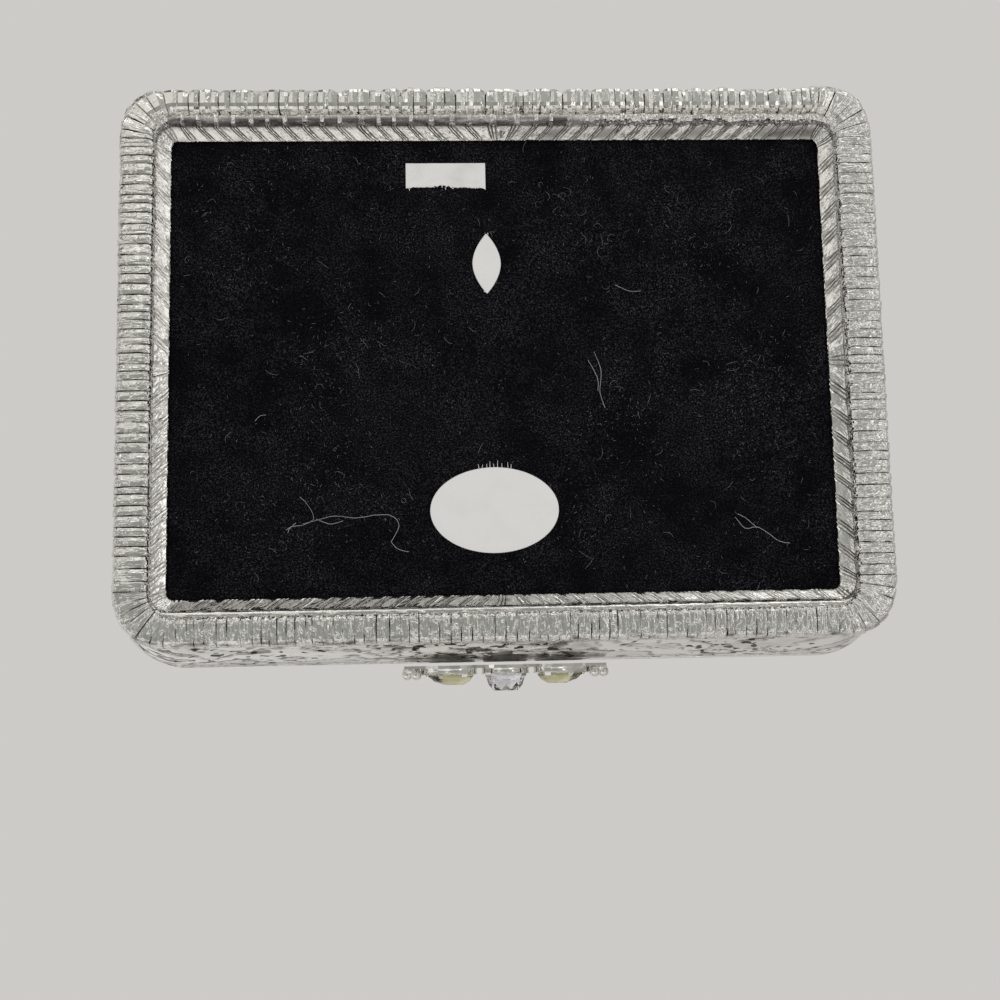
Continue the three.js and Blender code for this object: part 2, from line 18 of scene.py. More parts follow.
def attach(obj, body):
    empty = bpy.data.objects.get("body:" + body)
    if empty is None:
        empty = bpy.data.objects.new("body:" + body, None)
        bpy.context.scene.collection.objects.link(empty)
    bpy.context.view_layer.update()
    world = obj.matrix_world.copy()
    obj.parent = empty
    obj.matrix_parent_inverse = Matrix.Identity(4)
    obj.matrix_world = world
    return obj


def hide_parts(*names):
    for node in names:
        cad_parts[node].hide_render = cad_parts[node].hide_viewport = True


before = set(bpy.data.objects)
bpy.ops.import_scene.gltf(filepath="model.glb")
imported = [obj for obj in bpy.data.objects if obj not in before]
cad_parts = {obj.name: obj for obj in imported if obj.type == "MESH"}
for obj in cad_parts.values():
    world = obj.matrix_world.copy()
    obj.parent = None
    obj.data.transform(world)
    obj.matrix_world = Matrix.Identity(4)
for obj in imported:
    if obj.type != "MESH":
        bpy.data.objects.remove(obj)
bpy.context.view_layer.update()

# %% [markdown]
# ## The camera
#
# The photograph looks at the underside of the box from about 15 cm away, a little from the front
# and the side, so nearer parts look larger and the front wall just shows. The camera's place was
# solved from the four corners of the velvet pad. It is a plain perspective camera without shift.

# %% Place the camera
MM = 0.001
camera_data = bpy.data.cameras.new("photo_camera")
camera_data.sensor_width = 36.0
camera_data.lens = 46.476
camera_data.clip_start = 0.005
camera_data.clip_end = 10.0
camera = bpy.data.objects.new("photo_camera", camera_data)
bpy.context.scene.collection.objects.link(camera)
camera_right = Vector((-0.99908, -0.01987, -0.03796)).normalized()
camera_forward = Vector((-0.04017, 0.12604, 0.99121)).normalized()
camera_up = camera_right.cross(camera_forward)
turn = Matrix((camera_right, camera_up, -camera_forward)).transposed()
camera.matrix_world = Matrix.Translation((0.006677, -0.035313, -0.147948)) @ turn.to_4x4()
bpy.context.scene.camera = camera
print("camera at", [round(value, 4) for value in camera.matrix_world.translation])

# %% [markdown]
# ## Table, room and light
#
# Polished silver has no colour of its own: it shows the room. So the stage has three parts. The
# background is a plain pale grey that the camera, metal and glass all see. A soft, even light comes
# from every side, with a few large lamps for direction. And a round room, which only mirrors and
# glass see, holds broad pale and dark patches, as real walls, windows and people do.
# The floor is one-sided: it shows from above, and it is clear from below.

# %% Background colour and even light
TABLE_GREY = (0.612, 0.597, 0.578, 1.0)
EVEN_LIGHT = 0.8
world = bpy.data.worlds.new("pale_room")
bpy.context.scene.world = world
world.use_nodes = True
nodes = world.node_tree.nodes
links = world.node_tree.links
nodes.clear()
rays = nodes.new("ShaderNodeLightPath")
seen = nodes.new("ShaderNodeMath")
seen.operation = "MAXIMUM"
links.new(rays.outputs["Is Camera Ray"], seen.inputs[0])
links.new(rays.outputs["Is Glossy Ray"], seen.inputs[1])
seen_all = nodes.new("ShaderNodeMath")
seen_all.operation = "MAXIMUM"
links.new(seen.outputs[0], seen_all.inputs[0])
links.new(rays.outputs["Is Transmission Ray"], seen_all.inputs[1])
background = nodes.new("ShaderNodeBackground")
background.inputs["Color"].default_value = TABLE_GREY
background.inputs["Strength"].default_value = 1.0
even = nodes.new("ShaderNodeBackground")
even.inputs["Color"].default_value = (1.0, 0.99, 0.975, 1.0)
even.inputs["Strength"].default_value = EVEN_LIGHT
choose = nodes.new("ShaderNodeMixShader")
links.new(seen_all.outputs[0], choose.inputs[0])
links.new(even.outputs[0], choose.inputs[1])
links.new(background.outputs[0], choose.inputs[2])
output = nodes.new("ShaderNodeOutputWorld")
links.new(choose.outputs[0], output.inputs["Surface"])
bpy.context.scene.view_settings.view_transform = "Standard"
print("background", TABLE_GREY[:3], "even light", EVEN_LIGHT)

# %% Lamps
def add_lamp(name, place, size, watts, tint=(1.0, 1.0, 1.0)):
    """A square softbox at a place in metres, turned to the box. Mirrors see the room instead of it."""
    data = bpy.data.lights.new(name, "AREA")
    data.size = size
    data.energy = watts
    data.color = tint
    lamp = bpy.data.objects.new(name, data)
    bpy.context.scene.collection.objects.link(lamp)
    lamp.location = place
    aim = Vector((0.0, 0.0, 0.01)) - Vector(place)
    lamp.rotation_mode = "QUATERNION"
    lamp.rotation_quaternion = aim.to_track_quat("-Z", "Y")
    lamp.visible_camera = False
    lamp.visible_glossy = False
    lamp.visible_transmission = False


add_lamp("key_from_above", (-0.30, -0.40, 0.55), 0.34, 1.5, (1.0, 0.985, 0.96))
add_lamp("fill_from_above", (0.45, -0.10, 0.45), 0.25, 0.6)
add_lamp("key_from_below", (-0.34, 0.16, -0.46), 0.22, 0.8, (1.0, 0.99, 0.97))
add_lamp("window_from_below", (0.30, -0.34, -0.42), 0.18, 0.5, (0.96, 0.98, 1.0))

# %% The round room that mirrors see
ROOM_RADIUS = 1.4

# Each patch: azimuth from +X towards +Y and angle up from straight down, in degrees, then its reach
# along the azimuth and the height, and its colour.
ROOM_PATCHES = [
    (0, 0, 400, 26, (0.275, 0.28, 0.265)),
    (0, 22, 46, 13, (0.30, 0.305, 0.29)),
    (180, 22, 46, 13, (0.30, 0.305, 0.29)),
    (90, 48, 36, 27, (0.33, 0.34, 0.33)),
    (122, 31, 44, 11, (0.37, 0.38, 0.365)),
    (200, 20, 40, 12, (0.36, 0.365, 0.35)),
    (233, 36, 16, 6, (1.25, 1.24, 1.2)),
    (176, 34, 17, 4, (1.7, 1.69, 1.65)),
    (22, 38, 8, 4, (1.3, 1.29, 1.24)),
    (270, 33, 18, 8, (0.76, 0.75, 0.72)),
    (60, 38, 30, 11, (0.76, 0.75, 0.70)),
    (94, 51, 16, 5, (1.3, 1.29, 1.25)),
    (152, 46, 14, 5, (1.2, 1.2, 1.16)),
    (330, 42, 36, 13, (0.84, 0.84, 0.81)),
    (2, 50, 24, 16, (0.31, 0.315, 0.30)),
    (183, 52, 25, 15, (0.39, 0.38, 0.365)),
    (62, 75, 26, 11, (0.085, 0.064, 0.058)),
    (125, 74, 27, 14, (1.0, 0.99, 0.96)),
    (88, 88, 34, 12, (0.42, 0.425, 0.41)),
    (225, 66, 24, 12, (0.72, 0.71, 0.68)),
    (250, 50, 9, 9, (0.1, 0.08, 0.072)),
    (290, 50, 16, 10, (0.84, 0.83, 0.80)),
    (312, 66, 20, 10, (0.8, 0.8, 0.78)),
    (30, 96, 26, 8, (0.2, 0.19, 0.18)),
    (120, 98, 40, 7, (0.24, 0.22, 0.2)),
    (215, 97, 30, 8, (0.18, 0.17, 0.16)),
    (300, 100, 34, 8, (0.22, 0.2, 0.18)),
    (70, 128, 50, 16, (0.68, 0.68, 0.66)),
    (200, 126, 34, 14, (0.38, 0.37, 0.36)),
    (320, 132, 44, 14, (0.74, 0.735, 0.72)),
    (62, 32, 6, 3, (1.5, 1.49, 1.45)),
    (118, 31, 6, 3, (1.5, 1.49, 1.45)),
    (75, 60, 8, 6, (1.6, 1.59, 1.55)),
    (104, 62, 8, 6, (1.6, 1.59, 1.55)),
    (187, 70, 26, 13, (0.35, 0.345, 0.33)),
    (0, 176, 400, 18, (0.4, 0.4, 0.39)),
]


# Clutter is a coarse grid of lighter and darker cells: columns round the room, and rows of equal
# height in degrees from the first one up.
CLUTTER_COLUMNS = 64
CLUTTER_ROWS = 12
CLUTTER_START = 38.0
CLUTTER_STEP = 5.0
room_random = np.random.default_rng(41)
room_cells = room_random.choice([0.16, 0.4, 1.0, 1.0, 1.75], size=(CLUTTER_COLUMNS, CLUTTER_ROWS))


def clutter(azimuth, rise):
    """How much lighter or darker the things that stand around make a low direction."""
    column = azimuth / (360.0 / CLUTTER_COLUMNS)
    row = (rise - CLUTTER_START) / CLUTTER_STEP
    last_row = CLUTTER_ROWS - 1.0
    if not 0.0 <= row < last_row:
        return 1.0
    corner, level = int(column) % CLUTTER_COLUMNS, int(row)
    beside = (corner + 1) % CLUTTER_COLUMNS
    across, up = column - math.floor(column), row - level
    across, up = across * across * (3 - 2 * across), up * up * (3 - 2 * up)
    low = room_cells[corner, level] * (1 - across) + room_cells[beside, level] * across
    high = room_cells[corner, level + 1] * (1 - across) + room_cells[beside, level + 1] * across
    fade = min(1.0, row, last_row - row)
    return 1.0 + fade * (low * (1 - up) + high * up - 1.0)


def room_colour(direction):
    """The colour of the room in a direction: pale, with the soft-edged patches laid over it."""
    azimuth = math.degrees(math.atan2(direction[1], direction[0]))
    rise = math.degrees(math.acos(max(-1.0, min(1.0, -direction[2]))))
    colour = np.array(TABLE_GREY[:3]) * (0.96 + 0.2 * math.exp(-((rise - 40.0) / 28.0) ** 2))
    colour = colour * clutter(azimuth % 360.0, rise)
    for patch_azimuth, patch_rise, wide, tall, patch_colour in ROOM_PATCHES:
        turn_away = abs((azimuth - patch_azimuth + 180.0) % 360.0 - 180.0)
        away = math.hypot(turn_away / wide, (rise - patch_rise) / tall)
        share = 1.0 / (1.0 + math.exp((away - 1.0) * 7.0))
        colour = colour * (1.0 - share) + np.array(patch_colour) * share
    return colour


room_mesh = bpy.data.meshes.new("round_room")
room_form = bmesh.new()
bmesh.ops.create_uvsphere(room_form, u_segments=192, v_segments=128, radius=ROOM_RADIUS)
room_form.to_mesh(room_mesh)
room_form.free()
room_tint = room_mesh.attributes.new("room_tint", "FLOAT_COLOR", "POINT")
tints = [(*room_colour(vertex.co.normalized()), 1.0) for vertex in room_mesh.vertices]
room_tint.data.foreach_set("color", np.array(tints, np.float32).ravel())
room = bpy.data.objects.new("round_room", room_mesh)
bpy.context.scene.collection.objects.link(room)
room_material = bpy.data.materials.new("round_room_walls")
room_material.use_nodes = True
nodes = room_material.node_tree.nodes
links = room_material.node_tree.links
nodes.clear()
tint = nodes.new("ShaderNodeAttribute")
tint.attribute_name = "room_tint"
glow = nodes.new("ShaderNodeEmission")
links.new(tint.outputs["Color"], glow.inputs["Color"])
output = nodes.new("ShaderNodeOutputMaterial")
links.new(glow.outputs[0], output.inputs["Surface"])
room_mesh.materials.append(room_material)
room.visible_camera = False
room.visible_diffuse = False
room.visible_shadow = False
print("room patches:", len(ROOM_PATCHES))

# %% A floor that shows only from above
floor_mesh = bpy.data.meshes.new("pale_floor")
floor_form = bmesh.new()
bmesh.ops.create_grid(floor_form, x_segments=8, y_segments=8, size=3.0)
floor_form.to_mesh(floor_mesh)
floor_form.free()
floor = bpy.data.objects.new("pale_floor", floor_mesh)
bpy.context.scene.collection.objects.link(floor)
floor_material = bpy.data.materials.new("pale_floor")
floor_material.use_nodes = True
nodes = floor_material.node_tree.nodes
links = floor_material.node_tree.links
nodes.clear()
side = nodes.new("ShaderNodeNewGeometry")
paint = nodes.new("ShaderNodeBsdfPrincipled")
paint.inputs["Base Color"].default_value = TABLE_GREY
paint.inputs["Roughness"].default_value = 0.9
paint.inputs["Specular IOR Level"].default_value = 0.1
clear = nodes.new("ShaderNodeBsdfTransparent")
choose = nodes.new("ShaderNodeMixShader")
links.new(side.outputs["Backfacing"], choose.inputs[0])
links.new(paint.outputs[0], choose.inputs[1])
links.new(clear.outputs[0], choose.inputs[2])
output = nodes.new("ShaderNodeOutputMaterial")
links.new(choose.outputs[0], output.inputs["Surface"])
floor_mesh.materials.append(floor_material)
floor.visible_shadow = False
floor.visible_diffuse = False
floor.visible_glossy = False
floor.visible_transmission = False
print("floor at z =", floor.location.z)

# %% [markdown]
# ## Finishes
#
# Each finish is one Principled material. What several finishes share comes from node groups:
# the pitted skin of a casting, the grime that stays in grooves, the streaks and dents of worked
# ribs, the dark strokes of the bark, the pile of velvet and the grain of paper. A group only makes
# colours and values, and each material has its own numbers for it.
#
# Where a mark belongs to a place on a piece, such as a groove or a hollow with painted shade, the mesh
# carries it as an attribute, and the finish reads it. So the marks stay where the shape has them.

# %% Helpers for node groups and materials
def new_group(name, inputs, outputs):
    """An empty shader node group: inputs are (name, kind, default), outputs are (name, kind)."""
    group = bpy.data.node_groups.new(name, "ShaderNodeTree")
    for socket_name, kind, default in inputs:
        socket = group.interface.new_socket(socket_name, in_out="INPUT", socket_type=kind)
        socket.default_value = default
    for socket_name, kind in outputs:
        group.interface.new_socket(socket_name, in_out="OUTPUT", socket_type=kind)
    start = group.nodes.new("NodeGroupInput")
    end = group.nodes.new("NodeGroupOutput")
    return group, start, end


def add_node(tree, kind, settings=(), values=(), wires=()):
    """One node: settings are its own properties, values go on sockets, wires come from others."""
    node = tree.nodes.new(kind)
    for key, value in dict(settings).items():
        setattr(node, key, value)
    for key, value in dict(values).items():
        node.inputs[key].default_value = value
    for key, source in dict(wires).items():
        tree.links.new(source, node.inputs[key])
    return node


def new_material(name, sockets):
    """A material with one Principled BSDF and constants on its own sockets."""
    material = bpy.data.materials.new(name)
    material.use_nodes = True
    tree = material.node_tree
    tree.nodes.clear()
    skin = tree.nodes.new("ShaderNodeBsdfPrincipled")
    for key, value in sockets.items():
        skin.inputs[key].default_value = value
    end = tree.nodes.new("ShaderNodeOutputMaterial")
    tree.links.new(skin.outputs[0], end.inputs["Surface"])
    return material, tree, skin


def place_group(tree, group, values=(), wires=()):
    """A node group in a material's tree, with its own values and wires."""
    node = add_node(tree, "ShaderNodeGroup", {"node_tree": group}, values, wires)
    node.label = group.name
    return node


print("helpers ready")

# %% Group: the skin of a casting
FLOAT = "NodeSocketFloat"
COLOUR = "NodeSocketColor"
VECTOR = "NodeSocketVector"
cast_skin, start, end = new_group(
    "cast_skin",
    [("Place", VECTOR, (0.0, 0.0, 0.0)), ("Ripple Scale", FLOAT, 700.0), ("Pit Scale", FLOAT, 2600.0),
     ("Pit Share", FLOAT, 0.3)],
    [("Height", FLOAT), ("Mask", FLOAT)],
)
ripple = add_node(cast_skin, "ShaderNodeTexNoise", values={"Detail": 2.0, "Roughness": 0.5},
                  wires={"Vector": start.outputs["Place"], "Scale": start.outputs["Ripple Scale"]})
pits = add_node(cast_skin, "ShaderNodeTexVoronoi", {"feature": "SMOOTH_F1"}, {"Smoothness": 0.4},
                {"Vector": start.outputs["Place"], "Scale": start.outputs["Pit Scale"]})
pit_level = add_node(cast_skin, "ShaderNodeMath", {"operation": "MULTIPLY"},
                     wires={0: pits.outputs["Distance"], 1: start.outputs["Pit Share"]})
skin_sum = add_node(cast_skin, "ShaderNodeMath", {"operation": "ADD"},
                    wires={0: ripple.outputs["Fac"], 1: pit_level.outputs[0]})
cast_skin.links.new(skin_sum.outputs[0], end.inputs["Height"])
cast_skin.links.new(ripple.outputs["Fac"], end.inputs["Mask"])
print("group", cast_skin.name)

# %% Group: grime in grooves
groove_grime, start, end = new_group(
    "groove_grime",
    [("Clean", COLOUR, (0.8, 0.79, 0.77, 1.0)), ("Grime", COLOUR, (0.05, 0.04, 0.035, 1.0)),
     ("Groove", FLOAT, 0.0), ("Amount", FLOAT, 0.6), ("Patch", FLOAT, 0.5),
     ("Clean Roughness", FLOAT, 0.12), ("Grime Roughness", FLOAT, 0.5)],
    [("Colour", COLOUR), ("Roughness", FLOAT)],
)
patchy = add_node(groove_grime, "ShaderNodeMapRange", values={"From Min": 0.3, "From Max": 0.7,
                                                             "To Min": 0.45, "To Max": 1.0},
                  wires={"Value": start.outputs["Patch"]})
reach = add_node(groove_grime, "ShaderNodeMath", {"operation": "MULTIPLY"},
                 wires={0: start.outputs["Groove"], 1: start.outputs["Amount"]})
share = add_node(groove_grime, "ShaderNodeMath", {"operation": "MULTIPLY", "use_clamp": True},
                 wires={0: reach.outputs[0], 1: patchy.outputs[0]})
tone = add_node(groove_grime, "ShaderNodeMix", {"data_type": "RGBA"},
                wires={0: share.outputs[0], 6: start.outputs["Clean"], 7: start.outputs["Grime"]})
dullness = add_node(groove_grime, "ShaderNodeMix", {"data_type": "FLOAT"},
                    wires={0: share.outputs[0], 2: start.outputs["Clean Roughness"],
                           3: start.outputs["Grime Roughness"]})
groove_grime.links.new(tone.outputs[2], end.inputs["Colour"])
groove_grime.links.new(dullness.outputs[0], end.inputs["Roughness"])
print("group", groove_grime.name)

# %% Group: streaks and dents of worked ribs
rib_marks, start, end = new_group(
    "rib_marks", [("Lay", VECTOR, (0.0, 0.0, 0.0)), ("Crinkle", FLOAT, 0.0)], [("Height", FLOAT)])


def lay_noise(along, across, detail):
    """Noise in the ribs' own directions, in cells per millimetre along the moulding and across it."""
    spread = add_node(rib_marks, "ShaderNodeVectorMath", {"operation": "MULTIPLY"},
                      {1: (along, across, 0.0)}, {0: start.outputs["Lay"]})
    return add_node(rib_marks, "ShaderNodeTexNoise", values={"Scale": 1.0, "Detail": detail},
                    wires={"Vector": spread.outputs[0]})


lay_parts = add_node(rib_marks, "ShaderNodeSeparateXYZ", wires={0: start.outputs["Lay"]})
dents = add_node(rib_marks, "ShaderNodeMapRange", values={"From Min": 0.58, "From Max": 0.72,
                                                          "To Min": 0.0, "To Max": -0.4},
                 wires={"Value": lay_noise(1.7, 1.3, 1.0).outputs["Fac"]})
worked = add_node(rib_marks, "ShaderNodeMath", {"operation": "ADD"},
                  wires={0: lay_noise(2.6, 0.45, 2.0).outputs["Fac"], 1: dents.outputs[0]})
worked_share = add_node(rib_marks, "ShaderNodeMath", {"operation": "MULTIPLY"},
                        wires={0: worked.outputs[0], 1: lay_parts.outputs["Z"]})
knobs = add_node(rib_marks, "ShaderNodeTexVoronoi", values={"Scale": 2.1, "Randomness": 1.0},
                 wires={"Vector": start.outputs["Lay"]})
crinkled = add_node(rib_marks, "ShaderNodeMath", {"operation": "MULTIPLY"},
                    wires={0: knobs.outputs["Distance"], 1: start.outputs["Crinkle"]})
mark_sum = add_node(rib_marks, "ShaderNodeMath", {"operation": "MULTIPLY_ADD"}, {1: -1.6},
                    {0: crinkled.outputs[0], 2: worked_share.outputs[0]})
rib_marks.links.new(mark_sum.outputs[0], end.inputs["Height"])
print("group", rib_marks.name)

# %% Group: dark strokes of the bark
STROKES_TOP = 11.2
bark_strokes, start, end = new_group(
    "bark_strokes", [("Place", VECTOR, (0.0, 0.0, 0.0))], [("Share", FLOAT)])
spread = add_node(bark_strokes, "ShaderNodeVectorMath", {"operation": "MULTIPLY"},
                  {1: (700.0, 700.0, 1700.0)}, {0: start.outputs["Place"]})
dashes = add_node(bark_strokes, "ShaderNodeTexNoise", values={"Scale": 1.0, "Detail": 1.5},
                  wires={"Vector": spread.outputs[0]})
regions = add_node(bark_strokes, "ShaderNodeTexNoise", values={"Scale": 85.0, "Detail": 1.0},
                   wires={"Vector": start.outputs["Place"]})
threshold = add_node(bark_strokes, "ShaderNodeMapRange", values={"From Min": 0.4, "From Max": 0.6,
                                                                "To Min": 0.66, "To Max": 0.56},
                     wires={"Value": regions.outputs["Fac"]})
over = add_node(bark_strokes, "ShaderNodeMath", {"operation": "SUBTRACT"},
                wires={0: dashes.outputs["Fac"], 1: threshold.outputs[0]})
stroke_share = add_node(bark_strokes, "ShaderNodeMath", {"operation": "MULTIPLY", "use_clamp": True},
                        {1: 28.0}, {0: over.outputs[0]})
height = add_node(bark_strokes, "ShaderNodeSeparateXYZ", wires={0: start.outputs["Place"]})
under_rim = add_node(bark_strokes, "ShaderNodeMath", {"operation": "LESS_THAN"},
                     {1: STROKES_TOP * MM}, {0: height.outputs["Z"]})
low_share = add_node(bark_strokes, "ShaderNodeMath", {"operation": "MULTIPLY"},
                     wires={0: stroke_share.outputs[0], 1: under_rim.outputs[0]})
bark_strokes.links.new(low_share.outputs[0], end.inputs["Share"])
print("group", bark_strokes.name)

# %% Silver finishes
def silver_finish(name, clean, roughness, ripple_scale, pit_scale, bump, grime=0.7, stretch=(1, 1, 1),
                  worked=False, strokes=False):
    """Silver plate: bright where it is smooth, darker and duller in the grooves. Where the dull mask
    says, it is painted a dull dark brown as shade or as a dark reflection.
    """
    material, tree, skin = new_material(name, {"Metallic": 1.0})
    place = add_node(tree, "ShaderNodeTexCoord")
    lay = add_node(tree, "ShaderNodeMapping", values={"Scale": stretch},
                   wires={"Vector": place.outputs["Object"]})
    cast = place_group(tree, cast_skin, {"Ripple Scale": ripple_scale, "Pit Scale": pit_scale},
                       {"Place": lay.outputs[0]})
    depth = add_node(tree, "ShaderNodeAttribute", {"attribute_name": "groove"})
    dirt = place_group(
        tree, groove_grime,
        {"Clean": (*clean, 1.0), "Amount": grime, "Clean Roughness": roughness},
        {"Groove": depth.outputs["Fac"], "Patch": cast.outputs["Mask"]},
    )
    colour = dirt.outputs["Colour"]
    tree.links.new(dirt.outputs["Roughness"], skin.inputs["Roughness"])
    relief = add_node(tree, "ShaderNodeBump", values={"Strength": bump, "Distance": 0.00006},
                      wires={"Height": cast.outputs["Height"]})
    if strokes:
        dashes = place_group(tree, bark_strokes, {}, {"Place": place.outputs["Object"]})
        dark = add_node(tree, "ShaderNodeMix", {"data_type": "RGBA"}, {7: (0.07, 0.062, 0.056, 1.0)},
                        {0: dashes.outputs["Share"], 6: colour})
        colour = dark.outputs[2]
    if worked:
        lay = add_node(tree, "ShaderNodeAttribute", {"attribute_name": "lay"})
        crinkle = add_node(tree, "ShaderNodeAttribute", {"attribute_name": "crinkle"})
        marks = place_group(tree, rib_marks, {}, {"Lay": lay.outputs["Vector"],
                                                  "Crinkle": crinkle.outputs["Fac"]})
        relief = add_node(tree, "ShaderNodeBump", values={"Strength": 1.0, "Distance": 0.00012},
                          wires={"Height": marks.outputs["Height"], "Normal": relief.outputs[0]})
        # The dull mask paints shade and dark reflections: a dull dark brown, with less metal shine.
        dull = add_node(tree, "ShaderNodeAttribute", {"attribute_name": "dull"})
        painted_shade_tone = add_node(tree, "ShaderNodeMix", {"data_type": "RGBA"}, {7: (0.055, 0.044, 0.039, 1.0)},
                           {0: dull.outputs["Fac"], 6: colour})
        colour = painted_shade_tone.outputs[2]
        shine = add_node(tree, "ShaderNodeMapRange", values={"To Min": 1.0, "To Max": 0.0},
                         wires={"Value": dull.outputs["Fac"]})
        tree.links.new(shine.outputs[0], skin.inputs["Metallic"])
    tree.links.new(colour, skin.inputs["Base Color"])
    tree.links.new(relief.outputs[0], skin.inputs["Normal"])
    return material


SILVER = (0.86, 0.85, 0.82)
BARK_STRETCH = (520.0, 520.0, 2100.0)
smooth_silver = silver_finish("polished_silver_plate", SILVER, roughness=0.06, ripple_scale=500.0,
                              pit_scale=2000.0, bump=0.15)
bark_silver = silver_finish("bark_cast_silver_plate", SILVER, roughness=0.13, ripple_scale=1.0,
                            pit_scale=3.0, bump=0.8, grime=1.0, stretch=BARK_STRETCH)
stroked_silver = silver_finish("stroked_silver_plate", SILVER, roughness=0.13, ripple_scale=1.0,
                               pit_scale=3.0, bump=0.8, grime=1.0, stretch=BARK_STRETCH,
                               strokes=True)
ribbed_silver = silver_finish("ribbed_silver_plate", SILVER, roughness=0.09, ripple_scale=900.0,
                              pit_scale=3200.0, bump=0.5, worked=True)
pin_steel = silver_finish("drawn_steel", (0.62, 0.61, 0.6), roughness=0.28, ripple_scale=800.0,
                          pit_scale=5200.0, bump=0.4)
print("silver finishes:", smooth_silver.name, bark_silver.name, ribbed_silver.name, pin_steel.name)

# %% Group: the pile of velvet
velvet_pile, start, end = new_group(
    "velvet_pile",
    [("Place", VECTOR, (0.0, 0.0, 0.0)), ("Dark", COLOUR, (0.0009, 0.0009, 0.0016, 1.0)),
     ("Brushed", COLOUR, (0.055, 0.054, 0.062, 1.0)), ("Pile Scale", FLOAT, 5200.0),
     ("Patch Scale", FLOAT, 190.0)],
    [("Colour", COLOUR), ("Height", FLOAT)],
)
tufts = add_node(velvet_pile, "ShaderNodeTexNoise", values={"Detail": 3.0, "Roughness": 0.7},
                 wires={"Vector": start.outputs["Place"], "Scale": start.outputs["Pile Scale"]})
patches = add_node(velvet_pile, "ShaderNodeTexNoise", values={"Detail": 4.0, "Roughness": 0.6},
                   wires={"Vector": start.outputs["Place"], "Scale": start.outputs["Patch Scale"]})
tuft_light = add_node(velvet_pile, "ShaderNodeMapRange", values={"From Min": 0.5, "From Max": 0.74},
                      wires={"Value": tufts.outputs["Fac"]})
patch_light = add_node(velvet_pile, "ShaderNodeMapRange", values={"From Min": 0.36, "From Max": 0.68,
                                                                 "To Min": 0.16, "To Max": 1.0},
                       wires={"Value": patches.outputs["Fac"]})
pile_light = add_node(velvet_pile, "ShaderNodeMath", {"operation": "MULTIPLY", "use_clamp": True},
                      wires={0: tuft_light.outputs[0], 1: patch_light.outputs[0]})
pile_tone = add_node(velvet_pile, "ShaderNodeMix", {"data_type": "RGBA"},
                     wires={0: pile_light.outputs[0], 6: start.outputs["Dark"],
                            7: start.outputs["Brushed"]})
velvet_pile.links.new(pile_tone.outputs[2], end.inputs["Colour"])
velvet_pile.links.new(tufts.outputs["Fac"], end.inputs["Height"])
print("group", velvet_pile.name)

# %% Velvet finishes
def velvet_finish(name, pile_scale, patch_scale, sheen):
    """Black velvet, by the scale of its tufts, the scale of its brushed patches and its sheen."""
    material, tree, skin = new_material(
        name,
        {"Roughness": 0.95, "Specular IOR Level": 0.08, "Sheen Weight": sheen,
         "Sheen Roughness": 0.45, "Sheen Tint": (0.5, 0.52, 0.62, 1.0)},
    )
    place = add_node(tree, "ShaderNodeTexCoord")
    pile = place_group(tree, velvet_pile, {"Pile Scale": pile_scale, "Patch Scale": patch_scale},
                       {"Place": place.outputs["Object"]})
    tree.links.new(pile.outputs["Colour"], skin.inputs["Base Color"])
    nap = add_node(tree, "ShaderNodeBump", values={"Strength": 0.8, "Distance": 0.00008},
                   wires={"Height": pile.outputs["Height"]})
    tree.links.new(nap.outputs[0], skin.inputs["Normal"])
    return material


pad_velvet_finish = velvet_finish("flocked_black_velvet", pile_scale=5200.0, patch_scale=190.0,
                                  sheen=0.01)
lining_velvet_finish = velvet_finish("black_lining_velvet", pile_scale=4300.0, patch_scale=120.0,
                                     sheen=0.05)
print("velvet finishes:", pad_velvet_finish.name, lining_velvet_finish.name)

# %% Group: the grain of paper and card
paper_grain, start, end = new_group(
    "paper_grain",
    [("Place", VECTOR, (0.0, 0.0, 0.0)), ("Paper", COLOUR, (0.68, 0.675, 0.65, 1.0)),
     ("Stain", COLOUR, (0.55, 0.54, 0.51, 1.0)), ("Fibre Scale", FLOAT, 2600.0),
     ("Stain Scale", FLOAT, 330.0), ("Stain Amount", FLOAT, 0.4)],
    [("Colour", COLOUR), ("Height", FLOAT)],
)
fibres = add_node(paper_grain, "ShaderNodeTexNoise", values={"Detail": 4.0, "Distortion": 1.2},
                  wires={"Vector": start.outputs["Place"], "Scale": start.outputs["Fibre Scale"]})
stains = add_node(paper_grain, "ShaderNodeTexNoise", values={"Detail": 3.0},
                  wires={"Vector": start.outputs["Place"], "Scale": start.outputs["Stain Scale"]})
stain_reach = add_node(paper_grain, "ShaderNodeMapRange", values={"From Min": 0.45, "From Max": 0.75},
                       wires={"Value": stains.outputs["Fac"]})
stain_share = add_node(paper_grain, "ShaderNodeMath", {"operation": "MULTIPLY"},
                       wires={0: stain_reach.outputs[0], 1: start.outputs["Stain Amount"]})
paper_tone = add_node(paper_grain, "ShaderNodeMix", {"data_type": "RGBA"},
                      wires={0: stain_share.outputs[0], 6: start.outputs["Paper"],
                             7: start.outputs["Stain"]})
paper_grain.links.new(paper_tone.outputs[2], end.inputs["Colour"])
paper_grain.links.new(fibres.outputs["Fac"], end.inputs["Height"])
print("group", paper_grain.name)

# %% Paper, card and thread finishes
def paper_finish(name, paper, stain, amount, roughness):
    """Paper, card or lint: its colour, its stains' colour and how much they cover."""
    material, tree, skin = new_material(name, {"Roughness": roughness, "Specular IOR Level": 0.3})
    place = add_node(tree, "ShaderNodeTexCoord")
    grain = place_group(tree, paper_grain,
                        {"Paper": (*paper, 1.0), "Stain": (*stain, 1.0), "Stain Amount": amount},
                        {"Place": place.outputs["Object"]})
    tree.links.new(grain.outputs["Colour"], skin.inputs["Base Color"])
    tooth = add_node(tree, "ShaderNodeBump", values={"Strength": 0.4, "Distance": 0.00003},
                     wires={"Height": grain.outputs["Height"]})
    tree.links.new(tooth.outputs[0], skin.inputs["Normal"])
    return material


